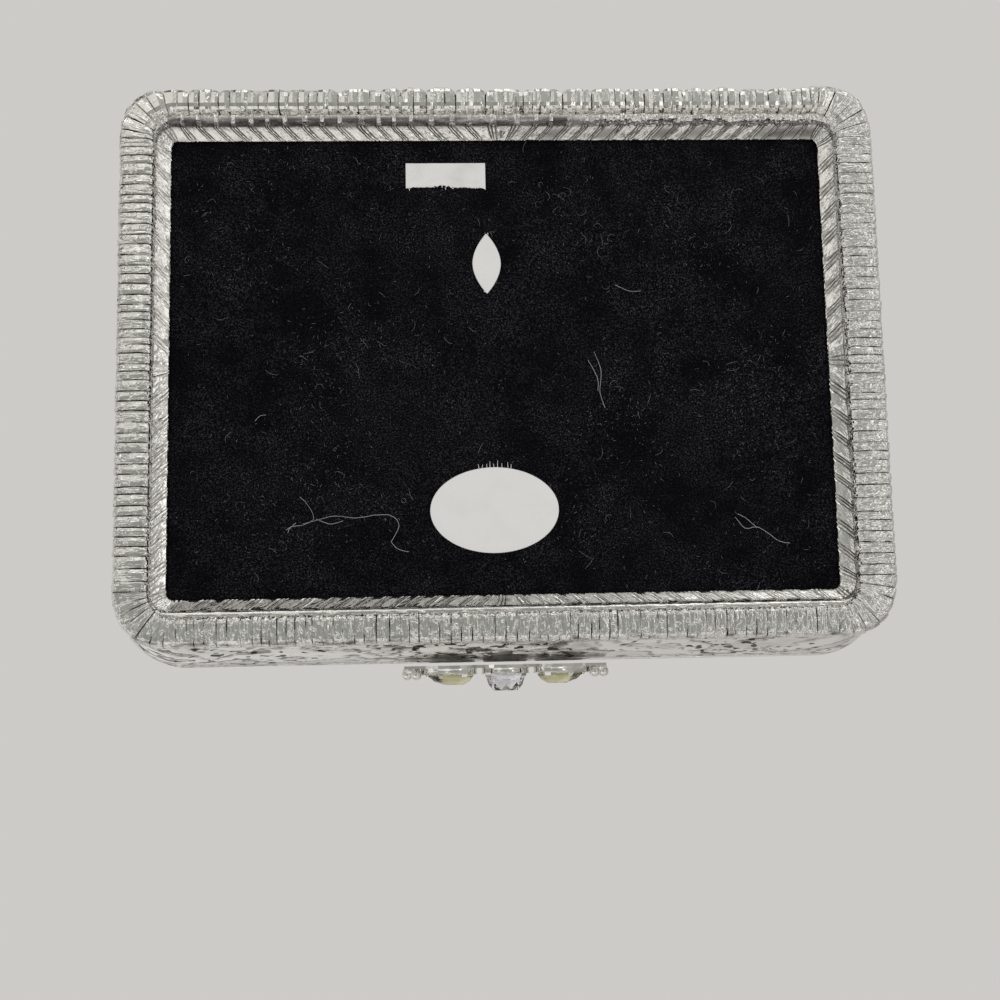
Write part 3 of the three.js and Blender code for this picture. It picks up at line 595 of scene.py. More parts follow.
label_finish = paper_finish("label_paper", (0.615, 0.61, 0.60), (0.53, 0.525, 0.51), 0.3, 0.6)
torn_finish = paper_finish("torn_paper", (0.62, 0.615, 0.605), (0.44, 0.435, 0.425), 0.5, 0.8)
card_finish = paper_finish("grey_card", (0.16, 0.14, 0.115), (0.10, 0.09, 0.075), 0.6, 0.9)
lint_finish = paper_finish("grey_lint", (0.19, 0.19, 0.2), (0.03, 0.03, 0.035), 0.95, 0.9)
hair_finish = paper_finish("white_hair", (0.36, 0.36, 0.36), (0.14, 0.14, 0.15), 0.9, 0.6)
print("paper finishes:", label_finish.name, torn_finish.name, card_finish.name)

# %% [markdown]
# ## The outline that every wall follows
#
# Foot, ribbon, body and lid all follow one rounded rectangle, each at its own distance from it.
# A station is a place on that outline with its outward direction, and a surface is a grid:
# stations along the outline, and the points of a section at each station.

# %% Stations on the outline
HALF_LENGTH = 45.0
HALF_WIDTH = 33.3
CORNER_RADIUS = 6.5
OUTLINE_Y = 0.425
STRAIGHTS = [2 * (HALF_WIDTH - CORNER_RADIUS), 2 * (HALF_LENGTH - CORNER_RADIUS)] * 2
CORNERS = [(1, 1), (-1, 1), (-1, -1), (1, -1)]


def outline_length(offset):
    """How long the outline drawn at an offset is, in mm."""
    return sum(STRAIGHTS) + 2 * math.pi * (CORNER_RADIUS + offset)


def stations(along, offset):
    """Base points and outward directions at distances along the outline drawn at an offset, in mm.
    The way starts at the front end of the right side and runs anticlockwise."""
    along = np.asarray(along, float) % outline_length(offset)
    base = np.zeros((*along.shape, 2))
    outward = np.zeros((*along.shape, 2))
    arc = (CORNER_RADIUS + offset) * math.pi / 2
    begin = 0.0
    for run in range(4):
        corner = np.array(CORNERS[run]) * (HALF_LENGTH - CORNER_RADIUS, HALF_WIDTH - CORNER_RADIUS)
        before = np.array(CORNERS[run - 1]) * (HALF_LENGTH - CORNER_RADIUS, HALF_WIDTH - CORNER_RADIUS)
        angle = run * math.pi / 2
        on_side = (along >= begin) & (along < begin + STRAIGHTS[run])
        share = ((along - begin) / STRAIGHTS[run])[..., None]
        base = np.where(on_side[..., None], before + (corner - before) * share, base)
        outward = np.where(on_side[..., None], (math.cos(angle), math.sin(angle)), outward)
        begin += STRAIGHTS[run]
        on_corner = (along >= begin) & (along < begin + arc)
        swing = angle + (along - begin) / arc * math.pi / 2
        base = np.where(on_corner[..., None], corner, base)
        outward = np.where(on_corner[..., None], np.stack([np.cos(swing), np.sin(swing)], -1), outward)
        begin += arc
    return base, outward


def on_outline(base, outward, offset, height):
    """Points in mm at an offset and height: every argument may be one value or a whole grid."""
    reach = (CORNER_RADIUS + np.asarray(offset, float))[..., None]
    flat = base + outward * reach
    height = np.broadcast_to(np.asarray(height, float), flat.shape[:-1])
    return np.concatenate([flat, height[..., None]], -1)


print("outline length at the foot:", round(outline_length(0.0), 1), "mm")

# %% Smooth random numbers on a grid
def lattice(column, row, seed):
    """A repeatable random number from -1 to 1 for each lattice point."""
    mixed = column.astype(np.int64) * 374761393 + row.astype(np.int64) * 668265263 + seed * 974711
    mixed = mixed & 0xFFFFFFFF
    mixed = ((mixed ^ (mixed >> 13)) * 1274126177) & 0xFFFFFFFF
    mixed = mixed ^ (mixed >> 16)
    return (mixed & 0xFFFF) / 32767.5 - 1.0


def soft_noise(across, up, seed, repeat=None):
    """Smooth noise; across repeats after a whole number of cells, so that a ring closes."""
    column, row = np.floor(across), np.floor(up)
    shift, lift = across - column, up - row
    shift, lift = shift * shift * (3 - 2 * shift), lift * lift * (3 - 2 * lift)
    left = column if repeat is None else column % repeat
    right = column + 1 if repeat is None else (column + 1) % repeat
    low = lattice(left, row, seed) * (1 - shift) + lattice(right, row, seed) * shift
    high = lattice(left, row + 1, seed) * (1 - shift) + lattice(right, row + 1, seed) * shift
    return low * (1 - lift) + high * lift


def bark(along, up, length, cell, row_height, seed):
    """Long wavy strokes, as on bark: 0 on the flats and down to -1 in the strokes."""
    repeat = round(length / cell)
    scaled = along / length * repeat
    sway = soft_noise(scaled * 0.5, up / (row_height * 3), seed + 1)
    level = soft_noise(scaled, up / row_height + 1.2 * sway, seed, repeat)
    fine = soft_noise(scaled * 2, up / row_height * 2.1 + 0.8 * sway, seed + 2, repeat * 2)
    mixed = level + 0.45 * fine
    return -np.clip(1 - np.abs(mixed) / 0.2, 0, 1) ** 1.3 + 0.3 * mixed


print("noise check:", float(np.round(soft_noise(np.array([0.5]), np.array([0.5]), 3)[0], 4)))

# %% Meshes from grids
def add_piece(name, points, faces, material, body, node=None, groove=None, sharp=None,
              lay=None, marks=()):
    """A mesh piece in millimetres that rides on a CAD body, with its finish and CAD node."""
    mesh = bpy.data.meshes.new(name)
    mesh.from_pydata((np.asarray(points).reshape(-1, 3) * MM).tolist(), [], faces)
    mesh.validate()
    mesh.materials.append(material)
    if groove is not None:
        depth = mesh.attributes.new("groove", "FLOAT", "POINT")
        depth.data.foreach_set("value", np.asarray(groove, np.float32).ravel())
    if lay is not None:
        ways = mesh.attributes.new("lay", "FLOAT_VECTOR", "POINT")
        ways.data.foreach_set("vector", np.asarray(lay, np.float32).ravel())
    for mark, amounts in marks:
        layer = mesh.attributes.new(mark, "FLOAT", "POINT")
        layer.data.foreach_set("value", np.asarray(amounts, np.float32).ravel())
    if sharp is not None:
        mesh.shade_smooth()
        mesh.set_sharp_from_angle(angle=math.radians(sharp))
    mesh.update()
    piece = bpy.data.objects.new(name, mesh)
    bpy.context.scene.collection.objects.link(piece)
    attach(piece, body)
    if node:
        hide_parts(node)
    return piece


def ring_faces(rows, columns, close_columns=True):
    """Quads of a grid that closes along its rows' direction, and across too where asked."""
    faces = []
    across = columns if close_columns else columns - 1
    for row in range(rows):
        after = (row + 1) % rows
        for column in range(across):
            beside = (column + 1) % columns
            faces.append((row * columns + column, after * columns + column,
                          after * columns + beside, row * columns + beside))
    return faces


def settle(points):
    """Moves points from the outline's own middle to the object's frame."""
    moved = np.array(points, float)
    moved[..., 1] += OUTLINE_Y
    return moved


def section_normals(section):
    """Outward directions of a closed section of (offset, height), for relief square to it."""
    section = np.asarray(section, float)
    ahead = np.roll(section, -1, 0) - section
    behind = section - np.roll(section, 1, 0)
    ahead /= np.maximum(np.linalg.norm(ahead, axis=1, keepdims=True), 1e-9)
    behind /= np.maximum(np.linalg.norm(behind, axis=1, keepdims=True), 1e-9)
    tangent = ahead + behind
    tangent /= np.maximum(np.linalg.norm(tangent, axis=1, keepdims=True), 1e-9)
    return np.stack([-tangent[:, 1], tangent[:, 0]], -1)


print("mesh helpers ready")

# %% [markdown]
# ## The ribbed foot
#
# The box stands on a cast roll of about 240 narrow ribs. Seen from below each rib is two flat, slightly
# tilted facets with a thin dark groove beside it, and no two ribs are alike, because the pattern was cut
# by hand. A texture could paint this, but silver shows true facets by what each one mirrors. So every
# rib is modelled, with seeded random widths, tilts and depths.

# %% Lay out the ribs
def lay_ribs(length, pitch, spread, seed):
    """Where each rib starts along a closed way, and how its facets lie, in degrees and mm."""
    random = np.random.default_rng(seed)
    count = round(length / pitch)
    widths = np.clip(random.normal(1.0, spread, count), 0.62, 1.5)
    widths *= length / widths.sum()
    starts = np.concatenate([[0.0], np.cumsum(widths)[:-1]])
    lumps = []
    while len(lumps) < count:
        first, size = len(lumps), min(int(random.integers(2, 5)), count - len(lumps))
        reach, swell = widths[first:first + size].sum(), random.uniform(-0.08, 0.16)
        lumps += [(1.0 if index == size - 1 else 0.0, swell, starts[first], reach)
                  for index in range(size)]
    return {
        "start": starts,
        "width": widths,
        "steep_share": random.uniform(0.34, 0.6, count),
        "steep": random.normal(12.5, 2.5, count),
        "gentle": random.normal(1.5, 2.0, count),
        "crease": random.normal(0.0, 3.2, count),
        "groove": random.uniform(0.16, 0.34, count),
        "notch": (random.random(count) < 0.30) * random.uniform(0.2, 0.5, count),
        "swell": random.uniform(-0.05, 0.06, count),
        "tip": random.uniform(-0.035, 0.035, count),
        "lump_end": np.array([lump[0] for lump in lumps]),
        "lump_swell": np.array([lump[1] for lump in lumps]),
        "lump_start": np.array([lump[2] for lump in lumps]),
        "lump_reach": np.array([lump[3] for lump in lumps]),
    }


def rib_stations(ribs, groove_half, tilt_share=None):
    """Distances along the way, the relief there, how deep in a groove each is, and the rib's number.
    Each rib has two gentle facets, a crest, and a steep facet that faces on along the way."""
    along, relief, depth, number = [], [], [], []
    for index in range(len(ribs["start"])):
        start, width = ribs["start"][index], ribs["width"][index]
        share = 1.0 if tilt_share is None else tilt_share(start)
        crest = groove_half + (1 - ribs["steep_share"][index]) * (width - 2 * groove_half)
        middle = (groove_half + crest) / 2
        gentle, crease = ribs["gentle"][index], ribs["crease"][index]
        half_way = -math.tan(math.radians(gentle - crease)) * (crest - middle)
        first = half_way - math.tan(math.radians(gentle + crease)) * (middle - groove_half)
        last = -math.tan(math.radians(ribs["steep"][index] * share)) * (width - groove_half - crest)
        spots = [(0.0, min(first, last) - ribs["groove"][index], 1.0), (groove_half, first, 0.2),
                 (middle, half_way, 0.0), (crest - 0.02, 0.0, 0.0), (crest + 0.02, -0.003, 0.0),
                 (width - groove_half, last, 0.2)]
        for shift, level, deep in spots:
            along.append(start + shift)
            relief.append(level)
            depth.append(deep)
            number.append(index)
    return np.array(along), np.array(relief), np.array(depth), np.array(number)


FOOT_LINE = -1.9
foot_length = outline_length(FOOT_LINE)
foot_ribs = lay_ribs(foot_length, pitch=1.19, spread=0.17, seed=11)
print("ribs on the foot:", len(foot_ribs["start"]))

# %% Shape the foot
# The section runs from the outer edge over the crown to the inner edge, as (offset, height) in mm.
# Each array after it has one share for each of its points: how much of the relief, of the notches
# and of the other marks shows there.
FOOT_TOP = 4.2
INNER_SLOPE_START = -2.2
INNER_SLOPE_WIDTH = 1.3
INNER_SLOPE_TOP = 3.9
FOOT_SECTION = np.array([
    (-0.45, 4.2), (0.0, 3.4), (0.15, 2.7), (0.2, 2.1), (0.18, 1.5), (0.1, 0.98), (-0.04, 0.58),
    (-0.26, 0.3), (-0.6, 0.17), (-1.1, 0.12), (-1.9, 0.06), (-2.4, 0.05), (-2.8, 0.07),
    (-3.05, 0.13), (-3.28, 0.25), (-3.45, 0.42), (-3.57, 0.66), (-3.62, 1.0), (-3.62, 4.2),
])
FOOT_RELIEF = np.array([0, .5, 1, 1, 1, 1, 1, 1, 1, 1, 1, 1, 1, 1, 1, .9, .5, 0, 0])
FOOT_NOTCH = np.array([0, .6, 1, 1, 1, 1, 1, .7, .3, .1, 0, 0, 0, .1, .2, .2, 0, 0, 0])
FOOT_PULL = np.array([0, 0, 0, 0, 0, 0, 0, 0, 0, 0, 0, .2, .5, .75, .95, 1, 1, 1, 0])
FOOT_CRINKLE = np.array([0, 0, .2, .4, .7, .8, .8, .6, .3, .05, 0, 0, .1, .3, .6, .8, .7, .4, 0])
FOOT_RIM = np.array([0, 0, 0, 0, .2, .8, 1, .9, .4, 0, 0, 0, 0, 0, 0, 0, 0, 0, 0])
FOOT_PUSH = np.array([0, .7, 1, 1, 1, 1, .95, .85, .7, .4, .1, 0, 0, 0, 0, 0, 0, 0, 0])


def ribbed_ring(ribs, line, section, relief_share, groove_half, notch_share, rim_share, roughen,
                seed, tilt_share=None):
    """The grid of a ribbed ring, and how deep in a groove each of its points is."""
    along, relief, depth, number = rib_stations(ribs, groove_half, tilt_share)
    tall = np.concatenate([[0], np.cumsum(np.linalg.norm(np.diff(section, axis=0), axis=1))])
    jag = soft_noise(number[:, None] * 3.1 + 0.5, tall[None, :] * 2.3, seed + 4)
    jag_share = np.where(depth > 0.1, 0.05, 0.014)[:, None]
    base, outward = stations(along[:, None] + jag * jag_share, line)
    back = np.clip(outward[:, :1, 1], 0, 1) ** 2
    front = np.clip(-outward[:, :1, 1], 0, 1) ** 2
    left = np.clip(outward[:, :1, 0], 0, 1)
    normals = section_normals(section)
    random = soft_noise(number[:, None] * 1.7 + along[:, None] * 1.3, tall[None, :] * 1.6, seed)
    uneven = 1.0 + 0.35 * soft_noise(number[:, None] * 5.3 + 0.3, tall[None, :] * 1.1, seed + 6)
    lift = relief[:, None] * uneven + roughen * random
    lift = lift + ribs["tip"][number][:, None] * np.linspace(-1, 1, len(section))[None, :]
    swell = ribs["swell"][number][:, None] + back * ribs["lump_swell"][number][:, None]
    phase = (along - ribs["lump_start"][number]) / ribs["lump_reach"][number]
    straight_back = back * np.clip(1.0 - 2.5 * np.abs(outward[:, :1, 0]), 0, 1)
    swell = swell - 0.5 * straight_back * np.abs(2 * phase[:, None] - 1) ** 3
    lift = lift + swell * notch_share[None, :]
    fill = soft_noise(number[:, None] * 2.3 + 7.7, tall[None, :] * 0.9, seed + 9) * 1.6
    fill = fill + 0.38 - 0.5 * left + 0.25 * front
    ends_lump = np.roll(ribs["lump_end"][number], 6)[:, None]
    outer_half = np.linspace(1, 0, len(section))[None, :] > 0.5
    inner_end = np.linspace(0, 1, len(section))[None, :] > 0.72
    fill = fill + back * (0.35 + 0.5 * outer_half + 0.6 * inner_end - 1.0 * ends_lump * ~inner_end)
    fill = np.clip(fill, 0, 0.92)
    level = np.minimum(np.roll(relief, -1), np.roll(relief, 1))
    in_groove = (depth == 1.0)[:, None]
    lift = lift + np.where(in_groove, fill * (level - relief)[:, None], 0.0)
    pinch = np.maximum(ribs["notch"][number][:, None], back * ends_lump * 0.5)
    lift = lift - np.where(in_groove, pinch * notch_share[None, :], 0.0)
    lift = lift * relief_share[None, :]
    offsets = section[None, :, 0] + normals[None, :, 0] * lift
    heights = section[None, :, 1] + normals[None, :, 1] * lift
    groove = np.where(in_groove, 1.0 - fill, depth[:, None]) * relief_share[None, :]
    groove = groove * (1.0 - 0.55 * back - 0.35 * front)
    crescent = soft_noise(along[:, None] * 0.9, section[None, :, 1] * 3.0, seed + 12) * 3.2 - 0.2
    crescent = np.clip(crescent, 0, 1.3) * front * rim_share[None, :]
    groove = np.maximum(groove, crescent)
    right = np.clip(-outward[:, :1, 0], 0, 1)
    streaks = 0.85 - 0.65 * back + 0.95 * right + 0.6 * front
    lay = np.broadcast_arrays(along[:, None], tall[None, :], streaks)
    return base, outward, offsets, heights, groove, np.stack(lay, -1)


FRONT_TILT_SHARE = 0.45
FRONT_CORNER_REACH = 8.0


def foot_tilt(start):
    """The steep facets lie flatter along the front, where the ribs are plainest."""
    along_front = start > foot_length - STRAIGHTS[3] - FRONT_CORNER_REACH
    return FRONT_TILT_SHARE if along_front else 1.0


foot_base, foot_outward, foot_offsets, foot_heights, foot_groove, foot_lay = ribbed_ring(
    foot_ribs, FOOT_LINE, FOOT_SECTION, FOOT_RELIEF, groove_half=0.07, notch_share=FOOT_NOTCH,
    rim_share=FOOT_RIM, roughen=0.014, seed=5, tilt_share=foot_tilt)
side_x, side_y = foot_outward[..., 0], foot_outward[..., 1]
to_left, to_right = np.clip(side_x, 0, 1), np.clip(-side_x, 0, 1)
to_back, to_front = np.clip(side_y, 0, 1), np.clip(-side_y, 0, 1)
at_corner = (2 * side_x * side_y) ** 2
# The roll isn't equally wide all round: it is pushed out and pulled in by some tenths of a
# millimetre. Left and right are those of the photograph.
foot_push = 0.08 * to_left + 0.5 * to_right + 0.12 * to_back - 0.2 * to_front
foot_push = foot_push + (0.34 + 0.5 * to_back) * at_corner
foot_pull = 0.42 * to_back - 0.42 * np.abs(side_x)
foot_offsets = foot_offsets + foot_push * FOOT_PUSH[None, :] + foot_pull * FOOT_PULL[None, :]
inner_slope = np.clip(INNER_SLOPE_START - FOOT_SECTION[None, :, 0], 0, INNER_SLOPE_WIDTH)
inner_slope = inner_slope * (FOOT_SECTION[None, :, 1] < INNER_SLOPE_TOP)
foot_heights = foot_heights + 0.5 * to_back ** 2 * inner_slope
foot_grid = on_outline(foot_base, foot_outward, foot_offsets, foot_heights)
foot_grid[..., 2] = np.clip(foot_grid[..., 2], 0.0, FOOT_TOP)
foot_crinkle = FOOT_CRINKLE[None, :] * (1.0 - 0.95 * to_back) + 0.2 * to_right + 0.06 * to_front
add_piece(
    "ribbed_foot", settle(foot_grid), ring_faces(*foot_grid.shape[:2]),
    ribbed_silver, "base", "foot_moulding", foot_groove, 7.0, foot_lay,
    [("crinkle", foot_crinkle)])
print("foot:", foot_grid.shape, "lowest", round(float(foot_grid[..., 2].min()), 3))

# %% [markdown]
# ## The twisted ribbon
#
# Between the foot and the velvet runs a band of slanting flutes: a wide polished facet, then two thin
# ridges with dark slots. They stand about 3 mm apart at the sides, and closer along the back and in
# the middle of the front. They lean away from the middle of each side, so the two halves mirror each
# other. The grid's own lines are slanted to follow the flutes, which keeps their edges crisp with
# few faces. Along the back, the hollow beside the foot has painted shade, a dull dark brown between
# small bright studs: a mask on the mesh says where, and the finish darkens it. The same mask paints
# the lip between foot and flutes dull brown in place of a dark reflection, and paints shade on some
# flutes at the back right.

# %% Shape the ribbon
# As on the foot, each array has one share for each point of the section.
RIBBON_LINE = -4.3
ribbon_length = outline_length(RIBBON_LINE)
STUD_START = 0.72
# Each spot across one flute: its share of the width, its level in mm, and how deep in a slot it is.
FLUTE_SPOTS = [
    (0.00, -0.04, 0.2), (0.03, 0.03, 0.0), (0.30, 0.0, 0.0), (0.55, -0.01, 0.0), (0.60, -0.03, 0.3),
    (0.635, -0.2, 1.0), (0.68, 0.04, 0.1), (0.73, 0.03, 0.1), (0.78, -0.16, 1.0), (0.83, 0.05, 0.1),
    (0.89, 0.02, 0.1), (0.95, -0.18, 1.0),
]
RIBBON_SECTION = np.array([
    (-3.48, 3.9), (-3.48, 1.1), (-3.54, 0.84), (-3.64, 0.74), (-3.76, 0.72), (-3.88, 0.75),
    (-4.0, 0.8), (-4.1, 0.88), (-4.18, 1.04), (-4.23, 1.3), (-4.28, 1.6), (-4.33, 1.8), (-4.43, 1.92),
    (-4.7, 2.11), (-5.0, 2.33), (-5.3, 2.55), (-5.52, 2.72), (-5.6, 2.84), (-5.62, 3.15),
    (-4.9, 3.17), (-4.6, 3.9),
])
RIBBON_RELIEF = np.array([0, 0, 0, 0, 0, 0, 0, 0, 0, 0, .3, .7, 1, 1, 1, 1, .6, .3, 0, 0, 0])
RIBBON_KNOTS = np.array([0, 0, .2, .7, 1, 1, 1, 1, .9, .8, .5, .2, 0, 0, 0, 0, 0, 0, 0, 0, 0])
RIBBON_PULL = np.array([0, 0, .6, .9, 1, 1, 1, 1, 1, 1, 1, 1, .95, .6, .3, .1, 0, 0, 0, 0, 0])
RIBBON_GLITTER = np.array([0, 0, .4, .8, 1, 1, 1, 1, 1, 1, 1, .8, .5, .25, .1, 0, 0, 0, 0, 0, 0])
RIBBON_BACK = np.array([.42, .42, .42, .42, .4, .36, .3, .26, .24, .22, .2, .2, .19, .12, .06,
                        .02, 0, 0, 0, 0, 0])
RIBBON_PAINTED_REFLECTION = np.array([0, 0, 0, 0, 0, 0, 0, .1, .4, .6, .6, .5, .1, 0, 0, 0, 0, 0, 0, 0, 0])
RIBBON_BROWN_SHADE = np.array([0, 0, 0, 0, .3, .8, 1, 1, 1, 1, 1, 1, .4, 0, 0, 0, 0, 0, 0, 0, 0])
RIBBON_SHADE = np.array([0, 0, 0, 0, 0, 0, 0, 0, 0, 0, 0, 0, .3, .8, .9, .8, .5, 0, 0, 0, 0])
RIBBON_SPREAD = np.array([.2, .2, .25, .3, .35, .4, .45, .5, .55, .6, .65, .7, .75, .6, .4, .2, 0, 0, 0,
                          0, 0])
RIBBON_ACROSS = np.array([0, 0, 0, 0, 0, 0, 0, 0, 0, 0, 0, 0, 0, .2, .45, .68, .86, 1, 1, 1, 1])
FLUTE_LEAN = 1.7
CLOSE_PITCH = 2.15
WIDE_PITCH = 3.0
CLOSE_FRONT_REACH = 21.0
BROWN_FROM = -14.0
BROWN_FADE = 6.0


def flute_lean(along):
    """How far the outer ends lead at each place: away from each side's middle, 0 at the corners."""
    lean = np.zeros_like(along)
    arc = (CORNER_RADIUS + RIBBON_LINE) * math.pi / 2
    begin = 0.0
    for run in range(4):
        middle = begin + STRAIGHTS[run] / 2
        reach = STRAIGHTS[run] / 2 + arc / 2
        away = (along - middle + ribbon_length / 2) % ribbon_length - ribbon_length / 2
        here = np.abs(away) <= reach
        from_corner = np.clip((reach - np.abs(away)) / 4.0, 0, 1)
        from_middle = np.clip(np.abs(away) / 2.5, 0, 1)
        lean = np.where(here, np.sign(away) * from_corner * from_middle, lean)
        begin += STRAIGHTS[run] + arc
    return lean * FLUTE_LEAN


def flute_pitch(place):
    """Flutes stand closer together along the back and in the middle of the front."""
    base, outward = stations(place, RIBBON_LINE)
    close = outward[1] > 0.5 or (outward[1] < -0.5 and abs(base[0]) < CLOSE_FRONT_REACH)
    return CLOSE_PITCH if close else WIDE_PITCH


def lay_flutes(random):
    """Each spot's way along the band, its level, how deep in a slot it is, and the flutes' count."""
    widths = []
    while sum(widths) < ribbon_length - 1.0:
        widths.append(flute_pitch(sum(widths)) * min(1.25, max(0.8, random.normal(1.0, 0.09))))
    count = len(widths)
    widths = np.array(widths) * ribbon_length / sum(widths)
    starts = np.concatenate([[0.0], np.cumsum(widths)[:-1]])
    tilt = random.uniform(-0.10, 0.10, count)
    sink = random.uniform(-0.06, 0.02, count)
    facing = np.sign(flute_lean(starts + 0.3 * widths))
    along, relief, depth = [], [], []
    for index in range(count):
        for share, level, deep in FLUTE_SPOTS:
            along.append(starts[index] + share * widths[index])
            slope = 0.03 * facing[index] + 0.5 * tilt[index]
            swing = slope * (0.3 - share) / 0.3 if share < 0.6 else 0.0
            relief.append(level + swing + sink[index])
            depth.append(deep)
    return np.array(along), np.array(relief), np.array(depth), count


def ribbon_grid(seed):
    """The grid of the band, and the marks that its finish reads at each point."""
    random = np.random.default_rng(seed)
    along, relief, depth, count = lay_flutes(random)
    lean = flute_lean(along)
    shifted = along[:, None] + lean[:, None] * (0.5 - RIBBON_ACROSS[None, :])
    base, outward = stations(shifted, RIBBON_LINE)
    normals = section_normals(RIBBON_SECTION)
    wobble = 0.02 * soft_noise(along[:, None] * 1.9, RIBBON_ACROSS[None, :] * 4.0, seed)
    lift = (relief[:, None] + wobble) * RIBBON_RELIEF[None, :]
    plain = np.clip(-outward[..., 1], 0, 1)
    step = np.arange(len(RIBBON_SECTION))[None, :]
    knots = 0.15 * soft_noise(along[:, None] * 1.5, step * 0.5, seed + 3)
    knots += 0.07 * soft_noise(along[:, None] * 4.1, step * 0.8, seed + 5)
    lift = lift + knots * RIBBON_KNOTS[None, :] * (1.0 - 0.9 * plain)
    sides, back = np.abs(outward[..., 0]), np.clip(outward[..., 1], 0, 1) ** 2
    left = np.clip(outward[..., 0], 0, 1)
    stud = np.array([share > STUD_START for share, _, _ in FLUTE_SPOTS] * count)[:, None]
    bare = np.clip(0.7 + 0.9 * soft_noise(along[:, None] * 0.47, step * 0.3, seed + 15), 0.15, 1.0)
    lift = lift * (1.0 - 0.4 * left) + 0.18 * back * stud * RIBBON_KNOTS[None, :]
    offsets = RIBBON_SECTION[None, :, 0] + normals[None, :, 0] * lift
    heights = RIBBON_SECTION[None, :, 1] + normals[None, :, 1] * lift
    offsets = offsets - 0.3 * sides * RIBBON_PULL[None, :] + back * RIBBON_BACK[None, :]
    offsets = offsets + sides * RIBBON_SPREAD[None, :]
    groove = depth[:, None] * RIBBON_RELIEF[None, :] * (1.0 - 0.65 * left)
    section_steps = np.diff(RIBBON_SECTION, axis=0, prepend=RIBBON_SECTION[:1])
    tall = np.cumsum(np.linalg.norm(section_steps, axis=1))
    lay = np.stack(np.broadcast_arrays(along[:, None], tall[None, :], np.full_like(lift, 0.15)), -1)
    corner = (2 * outward[..., 0] * outward[..., 1]) ** 2
    crinkle = RIBBON_GLITTER[None, :] * (1.0 - 0.95 * plain) + 0.08 * RIBBON_RELIEF[None, :]
    crinkle = crinkle + 0.5 * corner
    patchy = np.clip(1.0 + 0.5 * soft_noise(along[:, None] * 0.45, step * 0.4, seed + 8), 0.55, 1.0)
    # Painted shade: along the back the hollow beside the foot is darkened to brown, less so on the
    # studs.
    brown = back * np.clip((base[..., 0] - BROWN_FROM) / BROWN_FADE, 0, 1)
    brown = brown * (1.0 - 0.9 * stud * bare) * patchy
    darkness = np.where(random.random(count) > 0.42, random.uniform(0.75, 1.05, count), 0.15)
    shaded = np.repeat(darkness, len(FLUTE_SPOTS))[:, None] * (1.0 - stud)
    shaded = shaded * back * np.clip(-base[..., 0] / BROWN_FADE, 0, 1) * RIBBON_SHADE[None, :]
    # Painted reflection: the lip between foot and flutes is painted dull brown in place of a dark
    # reflection.
    dull = RIBBON_PAINTED_REFLECTION[None, :] * (1.0 - plain) * (1.0 - 0.7 * left) * (1.0 - 0.75 * back)
    dull = np.maximum(dull, shaded)
    dull = np.maximum(dull, 0.97 * brown * RIBBON_BROWN_SHADE[None, :])
    return on_outline(base, outward, offsets, heights), groove, lay, crinkle, dull


ribbon_points, ribbon_groove, ribbon_lay, ribbon_crinkle, ribbon_dull_painted_shade = ribbon_grid(23)
add_piece(
    "twisted_ribbon", settle(ribbon_points), ring_faces(*ribbon_points.shape[:2]), ribbed_silver,
    "base", "ribbon_band", ribbon_groove, 24.0, ribbon_lay,
    [("crinkle", ribbon_crinkle), ("dull", ribbon_dull_painted_shade)])
print("ribbon:", ribbon_points.shape)

# %% [markdown]
# ## Body and lid
#
# The walls flare out to a beaded rim and the lid's shoulder curves in again. Their polished metal has
# a bark-like relief of long wavy strokes. Coarse strokes are in the mesh, where they bend the outline
# and the mirror image, and the finest are a bump in the finish.

# %% Walls with relief
ORNAMENT_REACH = 13.0


def walled_shell(name, levels, strokes, body, node, seed, cell=3.4, row_height=1.15, spacing=0.45):
    """A closed shell: levels are (offset, height, relief share), in a loop from the bottom's middle
    to the top's. The first and last levels are closed with one flat face each."""
    levels = np.array(levels, float)
    length = outline_length(0.0)
    count = int(length / spacing)
    along = np.arange(count) * length / count
    base, outward = stations(along, 0.0)
    tall = np.concatenate([[0], np.cumsum(np.linalg.norm(np.diff(levels[:, :2], axis=0), axis=1))])
    relief = bark(along[:, None], tall[None, :], length, cell, row_height, seed) * strokes
    tangent = np.gradient(levels[:, :2], axis=0)
    tangent /= np.linalg.norm(tangent, axis=1, keepdims=True)
    normals = np.stack([tangent[:, 1], -tangent[:, 0]], -1)
    # Behind the ornament the wall is worked more deeply, which breaks up what it mirrors.
    behind = np.exp(-(base[:, :1] / ORNAMENT_REACH) ** 4) * (body == "base")
    worked = np.clip(-outward[:, 1:], 0, 1) * behind
    lift = relief * levels[None, :, 2] * (1.0 + 0.9 * worked)
    offsets = levels[None, :, 0] + normals[None, :, 0] * lift
    heights = levels[None, :, 1] + normals[None, :, 1] * lift
    grid = on_outline(base[:, None, :], outward[:, None, :], offsets, heights)
    faces = ring_faces(*grid.shape[:2], close_columns=False)
    columns = grid.shape[1]
    faces.append(tuple(row * columns for row in reversed(range(count))))
    faces.append(tuple(row * columns + columns - 1 for row in range(count)))
    groove = np.clip(-lift / max(strokes, 1e-6), 0, 1)
    finish = stroked_silver if body == "base" else bark_silver
    return add_piece(name, settle(grid), faces, finish, body, node, groove, 40.0)


FLARE_REACH = 1.95
FLARE_HEIGHT = 7.3
FOOT_INSET = 0.4
WALL_THICKNESS = 1.5
FLOOR_TOP = 5.4
BODY_RIM = 12.5
STROKES_END = 11.65
CAVITY_RIM = FLARE_REACH - WALL_THICKNESS


def body_offset(height):
    """How far the wall stands outside the foot's outline: it flares along a quarter sine."""
    climb = min(1.0, max(0.0, (height - FOOT_TOP) / FLARE_HEIGHT))
    return (FLARE_REACH + FOOT_INSET) * math.sin(climb * math.pi / 2) - FOOT_INSET


def cavity_offset(height):
    """The tray's inner wall, which is straight from the floor to the rim."""
    floor_offset = body_offset(FLOOR_TOP) - WALL_THICKNESS
    climb = (height - FLOOR_TOP) / (BODY_RIM - FLOOR_TOP)
    return floor_offset + (CAVITY_RIM - floor_offset) * climb


